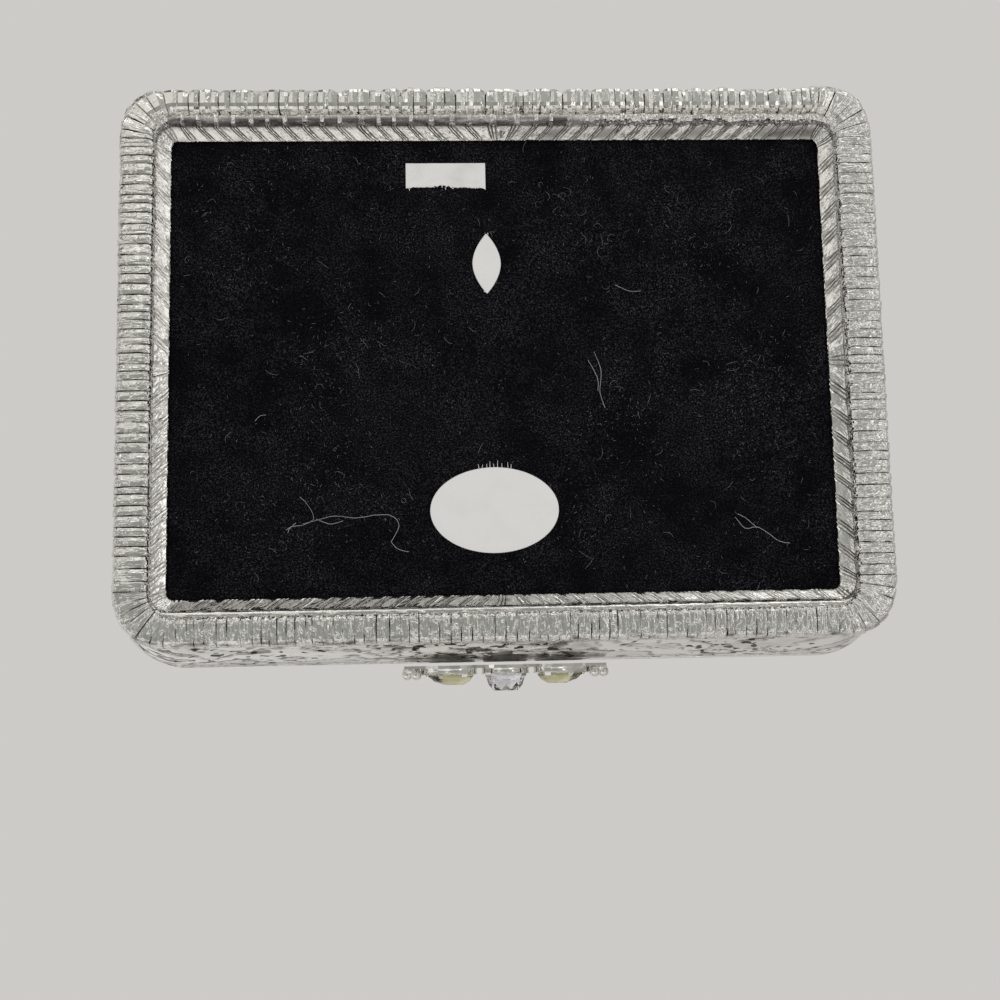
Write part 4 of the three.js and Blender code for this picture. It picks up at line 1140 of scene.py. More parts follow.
body_levels = [(-FOOT_INSET, FOOT_TOP, 0.0)]
body_levels += [(body_offset(height), height,
                 min(1.0, (height - FOOT_TOP) * 3, (STROKES_END - height) * 4))
                for height in np.arange(4.3, 11.6, 0.2)]
body_levels += [(1.97, 11.68, 0.0), (2.1, 11.78, 0.0), (2.15, 11.95, 0.1), (2.15, 12.2, 0.1),
                (2.08, 12.42, 0.0), (1.9, 12.5, 0.0), (0.5, 12.5, 0.0), (0.43, 12.44, 0.0)]
body_levels += [(cavity_offset(height), height, 0.0) for height in (12.0, 9.0, 5.4)]
body_piece = walled_shell("bark_body", body_levels, 0.17, "base", "body_shell", 41)
print("body points:", len(body_piece.data.vertices))

# %% The lid's shell
LID_BOTTOM = 12.8
LID_BEAD_TOP = 13.6
LID_CEILING = 24.0
LID_TOP = 25.5
LID_SHOULDER = 4.6
CEILING_SHOULDER = 3.85
SHOULDER_STEPS = 46


def lid_offset(share):
    """The shoulder's offset, at a share of the quarter turn that it makes."""
    return FLARE_REACH - LID_SHOULDER * (1 - math.cos(share * math.pi / 2))


def lid_height(share):
    """The shoulder's height, at the same share."""
    return LID_BEAD_TOP + (LID_TOP - LID_BEAD_TOP) * math.sin(share * math.pi / 2)


lid_levels = [(0.5 - CEILING_SHOULDER, LID_CEILING, 0.0)]
for share in (0.9, 0.75, 0.5, 0.25, 0.0):
    angle = share * math.pi / 2
    lid_levels.append((CAVITY_RIM - CEILING_SHOULDER * (1 - math.cos(angle)),
                       LID_BOTTOM + (LID_CEILING - LID_BOTTOM) * math.sin(angle), 0.0))
lid_levels += [(0.5, 12.8, 0.0), (1.9, 12.8, 0.0), (2.08, 12.88, 0.0), (2.15, 13.05, 0.1),
               (2.15, 13.35, 0.1), (2.1, 13.52, 0.0), (1.97, 13.6, 0.0)]
for step in range(1, SHOULDER_STEPS):
    share = step / SHOULDER_STEPS
    strokes_here = min(1.0, step / 3, (SHOULDER_STEPS - step) / 4)
    lid_levels.append((lid_offset(share) - 0.01, lid_height(share), strokes_here))
lid_levels += [(-2.75, 25.45, 0.0), (-4.6, 25.45, 0.0)]
lid_piece = walled_shell("bark_lid", lid_levels, 0.15, "lid", "lid_shell", 57)
print("lid points:", len(lid_piece.data.vertices))

# %% The lid's top panel
PANEL_INSET = 4.3


def top_panel(spacing=0.42, strokes=0.13):
    """A sheet with the same relief that fills the ribbed border, with its rim hidden under it."""
    half_x, half_y = HALF_LENGTH - PANEL_INSET, HALF_WIDTH - PANEL_INSET
    columns, rows = int(2 * half_x / spacing), int(2 * half_y / spacing)
    x, y = np.meshgrid(np.linspace(-half_x, half_x, columns), np.linspace(-half_y, half_y, rows),
                       indexing="ij")
    edge = np.minimum(half_x - np.abs(x), half_y - np.abs(y))
    turned_x = 0.97 * x + 0.24 * y + 0.7 * np.sin(y / 3.1)
    turned_y = 0.97 * y - 0.24 * x + 0.5 * np.sin(x / 4.3)
    relief = bark(turned_x + 200.0, turned_y + 200.0, 400.0, 2.6, 0.75, 71)
    relief = relief * strokes * np.clip(edge / 1.5, 0, 1)
    crown = 0.55 * np.clip(edge / 9.0, 0, 1) ** 0.6
    height = LID_TOP + crown + relief
    top = np.stack([x, y, height], -1)
    faces = []
    for column in range(columns - 1):
        for row in range(rows - 1):
            here = column * rows + row
            faces.append((here, here + rows, here + rows + 1, here + 1))
    groove = np.clip(-relief / strokes, 0, 1)
    return add_piece("bark_lid_top", settle(top), faces, bark_silver, "lid", None,
                     groove, 60.0)


lid_top = top_panel()
print("lid top points:", len(lid_top.data.vertices))

# %% The ribbed border on the lid
BORDER_LINE = -4.2
border_ribs = lay_ribs(outline_length(BORDER_LINE), pitch=1.22, spread=0.15, seed=31)
BORDER_SECTION = np.array([
    (-2.95, 25.5), (-2.98, 26.0), (-3.02, 26.6), (-3.2, 27.1), (-3.6, 27.5), (-4.15, 27.68),
    (-4.65, 27.6), (-5.1, 27.25), (-5.42, 26.7), (-5.55, 26.1), (-5.55, 25.5),
])[::-1]
BORDER_RELIEF = np.array([0, .7, 1, 1, 1, 1, 1, 1, 1, .7, 0])
BORDER_NOTCH = np.array([0, .2, .3, .2, 0, 0, .3, .7, 1, .6, 0])
BORDER_RIM = np.zeros(11)
*border_ways, border_groove, border_lay = ribbed_ring(
    border_ribs, BORDER_LINE, BORDER_SECTION, BORDER_RELIEF, groove_half=0.085,
    notch_share=BORDER_NOTCH, rim_share=BORDER_RIM, roughen=0.02, seed=9)
border_grid = on_outline(*border_ways)
add_piece(
    "ribbed_lid_border", settle(border_grid), ring_faces(*border_grid.shape[:2]), ribbed_silver,
    "lid", "lid_border", border_groove, 9.0, border_lay)
print("border:", border_grid.shape, "highest", round(float(border_grid[..., 2].max()), 3))

# %% [markdown]
# ## Velvet
#
# Under the box lies a flat card covered in black flocked velvet, and the tray and lid are lined with
# padded velvet. The pads are crowned closed forms with pulled-in edges. The nap itself is far finer
# than the mesh, so it is in the finish, and the lint and hairs that cling to it are thin curves.

# %% Flat and padded panels
def rounded_panel(half_x, half_y, radius, spacing):
    """A grid of x and y that fills a rounded rectangle, with the distance of each point to its edge."""
    columns, rows = int(2 * half_x / spacing) + 1, int(2 * half_y / spacing) + 1
    x, y = np.meshgrid(np.linspace(-half_x, half_x, columns), np.linspace(-half_y, half_y, rows),
                       indexing="ij")
    over_x, over_y = np.abs(x) - (half_x - radius), np.abs(y) - (half_y - radius)
    in_corner = (over_x > 0) & (over_y > 0)
    away = np.hypot(over_x, over_y)
    square = np.maximum(over_x, over_y)
    pull = np.where(in_corner, square / np.maximum(away, 1e-9), 1.0)
    x = np.where(in_corner, np.sign(x) * (half_x - radius + over_x * pull), x)
    y = np.where(in_corner, np.sign(y) * (half_y - radius + over_y * pull), y)
    edge = radius - np.where(in_corner, square, np.maximum(over_x, over_y))
    return x, y, np.maximum(edge, 0.0)


def panel_piece(name, grid_x, grid_y, face_height, back_height, faces_up, material, body, node):
    """A closed panel: a shaped face, a rim and a flat back."""
    columns, rows = grid_x.shape
    face = np.stack([grid_x, grid_y, face_height], -1).reshape(-1, 3)
    rim = [column * rows for column in range(columns)]
    rim += [(columns - 1) * rows + row for row in range(1, rows)]
    rim += [column * rows + rows - 1 for column in reversed(range(columns - 1))]
    rim += [row for row in reversed(range(1, rows - 1))]
    back = face[rim].copy()
    back[:, 2] = back_height
    faces = []
    for column in range(columns - 1):
        for row in range(rows - 1):
            here = column * rows + row
            faces.append((here, here + rows, here + rows + 1, here + 1))
    first = len(face)
    for index in range(len(rim)):
        after = (index + 1) % len(rim)
        faces.append((rim[index], first + index, first + after, rim[after]))
    faces.append(tuple(first + index for index in reversed(range(len(rim)))))
    if not faces_up:
        faces = [tuple(reversed(face_ring)) for face_ring in faces]
    points = np.concatenate([face, back])
    return add_piece(name, settle(points), faces, material, body, node, None, 50.0)


PAD_HALF_LENGTH = 40.15
PAD_HALF_WIDTH = 28.45
PAD_CORNER = 1.65
PAD_FACE = 3.2
PAD_BACK = 3.6
pad_x, pad_y, pad_edge = rounded_panel(PAD_HALF_LENGTH, PAD_HALF_WIDTH, PAD_CORNER, 0.5)
# The velvet rolls in at its rim, waves a little, and has one long soft crease from front to back.
pad_face = PAD_FACE + 0.3 * np.exp(-pad_edge / 0.18)
pad_face += 0.03 * (soft_noise(pad_x / 7.0, pad_y / 7.0, 3) + 1)
crease_x = 1.8 - pad_y * 0.02
in_crease = np.clip((pad_y + 12.0) / 2.0, 0, 1) * np.clip((8.5 - pad_y) / 2.0, 0, 1)
pad_face += 0.09 * np.exp(-((pad_x - crease_x) / 0.3) ** 2) * in_crease
pad_piece = panel_piece("velvet_pad", pad_x, pad_y, pad_face, PAD_BACK, False, pad_velvet_finish,
                        "base", "pad_velvet")
print("pad points:", len(pad_piece.data.vertices))

# %% Pads in the tray and the lid
def cushion(name, offset, back, front, crown, body, node):
    """A padded panel at an offset from the outline: crowned, with its edges pulled in."""
    x, y, edge = rounded_panel(HALF_LENGTH + offset, HALF_WIDTH + offset, CORNER_RADIUS + offset, 0.9)
    swell = 1 - np.exp(-edge / 1.6)
    rise = (front - back) * 0.55 * swell + (front - back) * 0.45
    rise += crown * np.clip(edge / 14.0, 0, 1) ** 0.7
    rise += 0.05 * soft_noise(x / 6.0, y / 6.0, 8) * swell
    piece = panel_piece(name, x, y, back + rise, back, front > back, lining_velvet_finish, body, node)
    return piece


SEAT_GAP = 0.3
LINING_THICKNESS = 0.9
LID_PAD_OFFSET = -2.8
tray_offset = cavity_offset(FLOOR_TOP) - SEAT_GAP - LINING_THICKNESS - SEAT_GAP
tray_pad = cushion("velvet_tray_pad", tray_offset, back=FLOOR_TOP, front=6.7, crown=0.35,
                   body="base", node="tray_floor_pad")
lid_pad = cushion("velvet_lid_pad", LID_PAD_OFFSET, back=23.7, front=22.6, crown=-0.35,
                  body="lid", node="lid_pad")
print("pads:", tray_pad.name, lid_pad.name)

# %% Wall linings
def lining_ring(name, levels, body, node, seed):
    """A soft closed ring: levels are (offset, height) round its section, a little uneven inside."""
    levels = np.array(levels, float)
    length = outline_length(-1.5)
    count = int(length / 1.0)
    along = np.arange(count) * length / count
    base, outward = stations(along, -1.5)
    uneven = 0.05 * soft_noise(along[:, None] / length * 60, levels[None, :, 1] / 3.0, seed, 60)
    grid = on_outline(base[:, None, :], outward[:, None, :], levels[None, :, 0] + uneven,
                      np.broadcast_to(levels[None, :, 1], (count, len(levels))))
    return add_piece(name, settle(grid), ring_faces(count, len(levels)), lining_velvet_finish, body,
                     node, None, 45.0)


tray_levels = [(cavity_offset(h) - 0.38, h) for h in (5.45, 8.0, 10.5, 11.75)]
tray_levels += [(cavity_offset(11.95) - 0.6, 11.95), (cavity_offset(11.95) - 0.9, 11.93)]
tray_levels += [(cavity_offset(h) - 1.16, h) for h in (11.6, 10.0, 7.5, 5.45)]
tray_lining = lining_ring("velvet_tray_lining", tray_levels[::-1], "base", "tray_wall_lining", 13)


def lid_cavity(height, inset):
    """The lid's inner wall at a height, drawn in by an inset for what lines it."""
    lift = min(1.0, max(0.0, (height - LID_BOTTOM) / (LID_CEILING - LID_BOTTOM - inset)))
    return CAVITY_RIM - inset - CEILING_SHOULDER * (1 - math.sqrt(1 - lift * lift))


lid_levels_out = [(lid_cavity(h, 0.4), h) for h in (13.5, 16.0, 18.5, 20.5, 22.2)]
lid_levels_in = [(lid_cavity(h, 1.12), h) for h in (22.0, 20.5, 18.5, 16.0, 13.7)]
lid_lining_levels = lid_levels_out + [(-2.56, 22.95), (-3.1, 22.72)] + lid_levels_in
lid_lining_levels += [(lid_cavity(13.4, 0.76), 13.34)]
lid_lining = lining_ring("velvet_lid_lining", lid_lining_levels[::-1], "lid", "lid_wall_lining", 17)
print("linings:", tray_lining.name, lid_lining.name)

# %% [markdown]
# ## Lint and hairs on the velvet
#
# Black velvet shows every fibre. Small grey specks of lint lie in loose clusters, with some short
# curved hairs and a few long white ones. All are curves with a round bevel, laid a hair's breadth
# below the pad. The specks and short hairs come from one seeded random source, and the long hairs
# run through listed places with a seeded wave.

# %% Lay the lint
def fibre_curves(name, strands, radius, material):
    """One curve object: each strand is a list of points in mm under the pad."""
    data = bpy.data.curves.new(name, "CURVE")
    data.dimensions = "3D"
    data.bevel_depth = radius * MM
    data.bevel_resolution = 0
    data.resolution_u = 2
    data.materials.append(material)
    for strand in strands:
        spline = data.splines.new("POLY")
        spline.points.add(len(strand) - 1)
        for point, place in zip(spline.points, strand):
            point.co = (place[0] * MM, (place[1] + OUTLINE_Y) * MM, place[2] * MM, 1.0)
            point.radius = place[3] if len(place) > 3 else 1.0
    piece = bpy.data.objects.new(name, data)
    bpy.context.scene.collection.objects.link(piece)
    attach(piece, "base")
    return piece


def curly_strand(random, x, y, length, curl, lift=0.06):
    """A short curved fibre that starts at x, y and turns as it goes."""
    heading = random.uniform(0, 2 * math.pi)
    bend = random.normal(0, curl)
    count = max(3, int(length / 0.16) + 2)
    points = []
    for step in range(count):
        share = step / (count - 1)
        height = PAD_FACE - lift - 0.05 * math.sin(share * math.pi) * random.uniform(0.2, 1.0)
        points.append((x, y, height, 0.6 + 0.5 * math.sin(share * math.pi)))
        heading += bend / count + random.normal(0, 0.16)
        x += math.cos(heading) * length / count
        y += math.sin(heading) * length / count
    return points


LINT_REACH_X = 38.5
LINT_REACH_Y = 26.8
CLUSTER_COUNT = 26
CLUSTER_SPREAD = 2.9


def pad_spots(random, count):
    """Random places on the pad, about half of them in loose clusters."""
    centres = [(random.uniform(-36, 36), random.uniform(-25, 25)) for _ in range(CLUSTER_COUNT)]
    spots = []
    for _ in range(count):
        if random.random() < 0.55:
            middle_x, middle_y = centres[random.integers(len(centres))]
            x, y = random.normal(middle_x, CLUSTER_SPREAD), random.normal(middle_y, CLUSTER_SPREAD)
        else:
            x = random.uniform(-LINT_REACH_X, LINT_REACH_X)
            y = random.uniform(-LINT_REACH_Y, LINT_REACH_Y)
        spots.append((min(LINT_REACH_X, max(-LINT_REACH_X, x)),
                      min(LINT_REACH_Y, max(-LINT_REACH_Y, y))))
    return spots


LINT_COUNT = 2900
SHORT_HAIR_COUNT = 120
lint_random = np.random.default_rng(77)
lint_strands = [curly_strand(lint_random, x, y, 0.07 + 0.5 * lint_random.random() ** 2, curl=1.6)
                for x, y in pad_spots(lint_random, LINT_COUNT)]
fibre_curves("lint_specks", lint_strands, radius=0.016, material=lint_finish)
short_strands = [curly_strand(lint_random, x, y, lint_random.uniform(0.7, 2.0), curl=2.4)
                 for x, y in pad_spots(lint_random, SHORT_HAIR_COUNT)]
fibre_curves("short_hairs", short_strands, radius=0.015, material=lint_finish)
print("lint specks:", len(lint_strands), "short hairs:", len(short_strands))

# %% Long white hairs
PHOTO_SIZE = 1000.0


def pixel_to_pad(column, row, height=3.12):
    """Where a point of the photograph lies on the pad, in mm in the outline's own frame."""
    focal = camera_data.lens / camera_data.sensor_width * PHOTO_SIZE
    across, down = column - PHOTO_SIZE / 2, row - PHOTO_SIZE / 2
    ray = camera_forward * focal + camera_right * across - camera_up * down
    origin = camera.matrix_world.translation
    reach = (height * MM - origin.z) / ray.z
    place = (origin + ray * reach) / MM
    return place.x, place.y - OUTLINE_Y


def hair_through(columns_rows, random, wave=0.1):
    """A long hair through places given in the photograph, smoothed and a little wavy."""
    places = np.array([pixel_to_pad(*spot) for spot in columns_rows])
    steps = np.linspace(0, len(places) - 1, (len(places) - 1) * 6 + 1)
    smooth = []
    for step in steps:
        index = min(int(step), len(places) - 2)
        share = step - index
        before = places[max(index - 1, 0)]
        first, second = places[index], places[index + 1]
        after = places[min(index + 2, len(places) - 1)]
        spot = 0.5 * (2 * first + (second - before) * share
                      + (2 * before - 5 * first + 4 * second - after) * share ** 2
                      + (3 * first - before - 3 * second + after) * share ** 3)
        smooth.append((*(spot + random.normal(0, wave * 0.12, 2)), 3.1 - 0.05 * random.random(), 1.0))
    return smooth


# Each hair as (column, row) places in the photograph.
HAIR_PATHS = [
    [(300, 497), (306, 503), (312, 512), (313, 520), (303, 525), (291, 527), (288, 533)],
    [(303, 524), (318, 520), (335, 516), (356, 518), (377, 515), (392, 516), (399, 526), (391, 542)],
    [(391, 542), (398, 549), (409, 552)],
    [(316, 519), (330, 524), (343, 521)],
    [(735, 517), (745, 528), (757, 527), (768, 533), (779, 541), (790, 543)],
    [(738, 514), (747, 519), (757, 528)],
    [(594, 352), (601, 371), (600, 392), (605, 408)],
    [(588, 360), (597, 377), (598, 391)],
    [(615, 285), (629, 291), (641, 291)],
    [(255, 421), (260, 416), (266, 415)],
    [(286, 530), (291, 527), (296, 523)],
]
hair_random = np.random.default_rng(5)
long_hairs = [hair_through(path, hair_random) for path in HAIR_PATHS]
fibre_curves("long_white_hairs", long_hairs, radius=0.028, material=hair_finish)
print("long hairs:", len(long_hairs))

# %% [markdown]
# ## Paper labels
#
# Three bits of white paper are stuck to the velvet: an oval, a small pointed one, and a strip whose
# lower edge was torn. They are thin closed sheets with slightly lifted, uneven rims, and the torn
# places end in loose fibres.

# %% Shape the labels
def paper_piece(name, outline_points, material, node, seed):
    """A thin sheet: rings shrink from the rim to the middle, so that the rim can lift a little."""
    rim = np.array(outline_points, float)
    middle = rim.mean(0)
    count = len(rim)
    # Each ring: its share of the rim and its height in mm, from the pad over the rim to the middle.
    rings = [(1.0, 3.2), (1.0, 3.17), (0.995, 3.085), (0.97, 3.05), (0.8, 3.055), (0.4, 3.06)]
    points = []
    for share, height in rings:
        ring = middle + (rim - middle) * share
        lift = 0.02 * soft_noise(np.arange(count) * 0.35, np.full(count, share * 3), seed)
        points.append(np.concatenate([ring, (height + lift * (height < 3.15))[:, None]], 1))
    points.append(np.array([[middle[0], middle[1], 3.06]]))
    points.append(np.array([[middle[0], middle[1], 3.2]]))
    flat = np.concatenate(points)
    faces = []
    for ring in range(len(rings) - 1):
        for index in range(count):
            after = (index + 1) % count
            faces.append((ring * count + index, (ring + 1) * count + index,
                          (ring + 1) * count + after, ring * count + after))
    last, centre = (len(rings) - 1) * count, len(rings) * count
    for index in range(count):
        after = (index + 1) % count
        faces.append((last + index, centre, last + after))
        faces.append((index, after, centre + 1))
    return add_piece(name, settle(flat), faces, material, "base", node, None, 35.0)


# The labels' middles, as shares of the foot's half length and half width.
OVAL_SHARES = (0.0267, -0.5315)
POINTED_SHARES = (0.0356, 0.3694)
TORN_SHARES = (0.1422, 0.6997)
OVAL_HALF_LENGTH = 7.6
OVAL_HALF_WIDTH = 5.1
POINTED_HALF_LENGTH = 3.7
POINTED_HALF_WIDTH = 1.65
POINT_WIDTH = 0.06
around = np.linspace(0, 2 * math.pi, 96, endpoint=False)
oval_x, oval_y = OVAL_SHARES[0] * HALF_LENGTH, OVAL_SHARES[1] * HALF_WIDTH
oval_rim = np.stack([oval_x + OVAL_HALF_LENGTH * np.cos(around),
                     oval_y + OVAL_HALF_WIDTH * np.sin(around)], -1)
oval_piece = paper_piece("oval_paper", oval_rim, label_finish, "oval_label", 2)
along_edge = np.linspace(-1, 1, 30)
blade = POINTED_HALF_WIDTH * (1 - np.abs(along_edge) ** 1.9)
pointed_x, pointed_y = POINTED_SHARES[0] * HALF_LENGTH, POINTED_SHARES[1] * HALF_WIDTH
right_edge = np.stack([pointed_x + blade + POINT_WIDTH,
                       pointed_y + POINTED_HALF_LENGTH * along_edge], -1)
left_edge = np.stack([pointed_x - blade[::-1] - POINT_WIDTH,
                      pointed_y + POINTED_HALF_LENGTH * along_edge[::-1]], -1)
pointed_piece = paper_piece("pointed_paper", np.concatenate([right_edge, left_edge]), label_finish,
                            "pointed_label", 3)
print("labels:", oval_piece.name, pointed_piece.name)

# %% The torn strip
# The torn lower edge, as (share of the length, share of the width) from the strip's middle.
TORN_EDGE = [
    (-0.5, -0.5), (-0.47, -0.44), (-0.44, -0.43), (-0.38, -0.47), (-0.34, -0.47), (-0.27, -0.44),
    (-0.2, -0.43), (-0.14, -0.44), (-0.08, -0.42), (-0.03, -0.38), (0.02, -0.36), (0.08, -0.36),
    (0.14, -0.38), (0.19, -0.41), (0.24, -0.42), (0.32, -0.41), (0.4, -0.43), (0.46, -0.45),
    (0.5, -0.46),
]
TORN_LENGTH = 9.7
TORN_WIDTH = 3.3
torn_x, torn_y = TORN_SHARES[0] * HALF_LENGTH, TORN_SHARES[1] * HALF_WIDTH
fine_x = np.linspace(-0.5, 0.5, 64)
fine_y = np.interp(fine_x, [spot[0] for spot in TORN_EDGE], [spot[1] for spot in TORN_EDGE])
fine_y += np.random.default_rng(8).normal(0, 0.012, 64)
lower = np.stack([torn_x + TORN_LENGTH * fine_x, torn_y + TORN_WIDTH * fine_y], -1)
side_shares = np.linspace(0, 1, 10)[1:-1]
right_side = np.stack([np.full(8, torn_x + TORN_LENGTH / 2),
                       torn_y + TORN_WIDTH * (-0.46 + 0.96 * side_shares)], -1)
upper = np.stack([torn_x + TORN_LENGTH * fine_x[::-1], np.full(64, torn_y + TORN_WIDTH / 2)], -1)
left_side = np.stack([np.full(8, torn_x - TORN_LENGTH / 2),
                      torn_y + TORN_WIDTH * (0.5 - side_shares)], -1)
torn_piece = paper_piece("torn_paper_strip", np.concatenate([lower, right_side, upper, left_side]),
                         torn_finish, "torn_label", 4)
print("torn strip:", torn_piece.name)

# %% Loose fibres at the torn places
# Pixels of the photograph: where fibres rise from the oval's upper rim, which is a flat curve
# there, and where they stand at the two ends of the pointed label.
FIBRE_COLUMNS = (479, 482, 487, 490, 494, 497.5, 502, 508, 511)
RIM_TOP_COLUMN = 495
RIM_TOP_ROW = 467.2
RIM_BEND = 0.0045
POINT_PIXELS = ((486, 292), (489, 291), (485, 234), (488, 235))
fibre_random = np.random.default_rng(19)
torn_fibres = []
for column in FIBRE_COLUMNS:
    base_x, base_y = pixel_to_pad(column, RIM_TOP_ROW + RIM_BEND * (column - RIM_TOP_COLUMN) ** 2)
    rise = fibre_random.uniform(0.25, 0.85)
    lean = fibre_random.uniform(-0.25, 0.25)
    torn_fibres.append([(base_x + lean * share * rise, base_y + share * rise,
                         3.1 - 0.05 * share, 1.0 - 0.5 * share) for share in (0.0, 0.4, 0.75, 1.0)])
for index in range(20):
    x = torn_x + fibre_random.uniform(-4.6, 4.6)
    torn_fibres.append(curly_strand(fibre_random, x, torn_y - 1.42, fibre_random.uniform(0.15, 0.5),
                                    0.8, 0.1))
for spot in POINT_PIXELS:
    x, y = pixel_to_pad(*spot)
    torn_fibres.append(curly_strand(fibre_random, x, y, 0.4, 0.5, 0.1))
fibre_curves("torn_paper_fibres", torn_fibres, radius=0.045, material=torn_finish)
print("torn fibres:", len(torn_fibres))

# %% [markdown]
# ## The rhinestone ornament
#
# Three foil-backed stones sit in polished cups on a small plate that hangs in front of the seam: a
# round clear one in the middle and two champagne pear shapes. Cut glass is a set of flat planes, so
# each stone is the convex hull of its corner points, which gives exactly those planes.

# %% Where the ornament stands
PLATE_BACK = 35.75
ORNAMENT_HEIGHT = 10.8
CUP_BOTTOM = 0.4
CUP_TOP = 1.15
STONE_TIP = 0.84
CUP_FLOOR = 0.72
CUP_RADIUS = 2.92
CENTRE_STONE_RADIUS = 2.45
STONE_GIRDLE = 0.2
SIDE_STONE_X = 6.65
SIDE_STONE_LENGTH = 5.5
SIDE_STONE_RADIUS = 2.1
SIDE_ROUND_X = SIDE_STONE_X - SIDE_STONE_LENGTH / 2 + SIDE_STONE_RADIUS


def at_front(points):
    """From the ornament's own frame (x right, y up, z out of the face) to the box's, in mm."""
    points = np.asarray(points, float)
    return np.stack([points[..., 0], -PLATE_BACK - points[..., 2] + OUTLINE_Y,
                     ORNAMENT_HEIGHT + points[..., 1]], -1)


def glass_finish(name, colour, roughness=0.02):
    """Cut glass that lets light through, with a faint haze in its colour and gloss."""
    material, tree, skin = new_material(
        name, {"Transmission Weight": 1.0, "IOR": 1.6, "Metallic": 0.0})
    place = add_node(tree, "ShaderNodeTexCoord")
    haze = place_group(tree, cast_skin, {"Ripple Scale": 420.0, "Pit Scale": 1500.0},
                       {"Place": place.outputs["Object"]})
    tone = add_node(tree, "ShaderNodeMix", {"data_type": "RGBA"},
                    {6: (*colour, 1.0), 7: (*[channel * 0.86 for channel in colour], 1.0)},
                    {0: haze.outputs["Mask"]})
    tree.links.new(tone.outputs[2], skin.inputs["Base Color"])
    gloss = add_node(tree, "ShaderNodeMapRange",
                     values={"To Min": roughness * 0.5, "To Max": roughness * 1.5},
                     wires={"Value": haze.outputs["Mask"]})
    tree.links.new(gloss.outputs[0], skin.inputs["Roughness"])
    return material


clear_glass = glass_finish("clear_cut_glass", (0.95, 0.95, 1.0))
champagne_glass = glass_finish("champagne_cut_glass", (0.72, 0.69, 0.42))
print("stones at z =", ORNAMENT_HEIGHT)

# %% Cut the stones
def hull_piece(name, points, material, node):
    """A stone as the convex hull of its corner points."""
    form = bmesh.new()
    for point in at_front(points):
        form.verts.new(Vector(point) * MM)
    made = bmesh.ops.convex_hull(form, input=form.verts[:])
    spare = [item for item in made["geom_interior"] + made["geom_unused"]
             if isinstance(item, bmesh.types.BMVert)]
    bmesh.ops.delete(form, geom=list(set(spare)), context="VERTS")
    bmesh.ops.dissolve_limit(form, angle_limit=math.radians(1.5), verts=form.verts[:],
                             edges=form.edges[:])
    mesh = bpy.data.meshes.new(name)
    form.to_mesh(mesh)
    form.free()
    mesh.materials.append(material)
    piece = bpy.data.objects.new(name, mesh)
    bpy.context.scene.collection.objects.link(piece)
    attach(piece, "lid")
    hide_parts(node)
    return piece


def circle_points(count, radius, height, turn=0.0):
    """Points evenly round a circle, turned by a share of their spacing."""
    angles = (np.arange(count) + turn) / count * 2 * math.pi
    return np.stack([radius * np.cos(angles), radius * np.sin(angles), np.full(count, height)], -1)


crown_base = CUP_TOP + STONE_GIRDLE
round_points = np.concatenate([
    circle_points(8, 1.55, crown_base + 1.8, 0.5),
    circle_points(8, 2.06, crown_base + 1.12, 0.0),
    circle_points(16, CENTRE_STONE_RADIUS, crown_base, 0.0),
    circle_points(16, CENTRE_STONE_RADIUS, CUP_TOP, 0.0),
    circle_points(8, 1.5, CUP_TOP - 0.14, 0.5),
    [[0.0, 0.0, STONE_TIP]],
])
round_stone = hull_piece("round_clear_stone", round_points, clear_glass, "centre_stone")


def pear_outline(side, margin, count):
    """The rim of a pear shape, widened by a margin: round towards the middle, narrow outside."""
    around = np.arange(count) / count * 2 * math.pi
    point_reach = SIDE_STONE_LENGTH - SIDE_STONE_RADIUS + 2 * margin
    stretch = np.where(np.cos(around) > 0, point_reach, SIDE_STONE_RADIUS + margin)
    narrow = np.where(np.cos(around) > 0, 1 - 0.5 * np.cos(around) ** 2, 1.0)
    return np.stack([side * (SIDE_ROUND_X + stretch * np.cos(around)),
                     side * (SIDE_STONE_RADIUS + margin) * narrow * np.sin(around)], -1)


def pear_stone_points(side):
    """The corners of a pear-shaped stone, from its girdle to its table, and its hidden tip."""
    table_x = side * SIDE_ROUND_X
    rim = pear_outline(side, 0.0, 20)
    rings = []
    for share, height, every, start in ((1.0, CUP_TOP, 1, 0), (1.0, crown_base, 1, 0),
                                        (0.78, crown_base + 0.6, 2, 0), (0.42, crown_base + 1.05, 4, 1)):
        ring = np.stack([table_x + (rim[:, 0] - table_x) * share, rim[:, 1] * share,
                         np.full(len(rim), height)], -1)
        rings.append(ring[start::every])
    return np.concatenate([*rings, [[table_x, 0.0, STONE_TIP]]])


for side_name, side in (("left", -1), ("right", 1)):
    hull_piece(f"{side_name}_champagne_stone", pear_stone_points(side), champagne_glass,
               f"{side_name}_stone")
print("stone facets:", len(round_stone.data.polygons))

# %% Cups, claws and beads
def ring_solid(outline, levels):
    """Points and faces of a turned or lofted cup: levels are (scale in mm outwards, height)."""
    outline = np.array(outline, float)
    count = len(outline)
    middle = outline.mean(0)
    outward = outline - middle
    outward /= np.linalg.norm(outward, axis=1, keepdims=True)
    rings = [np.concatenate([outline + outward * shift, np.full((count, 1), height)], 1)
             for shift, height in levels]
    points = np.concatenate(rings)
    faces = []
    for ring in range(len(levels) - 1):
        for index in range(count):
            after = (index + 1) % count
            faces.append((ring * count + index, ring * count + after,
                          (ring + 1) * count + after, (ring + 1) * count + index))
    faces.append(tuple(reversed(range(count))))
    last = (len(levels) - 1) * count
    faces.append(tuple(last + index for index in range(count)))
    return points, faces


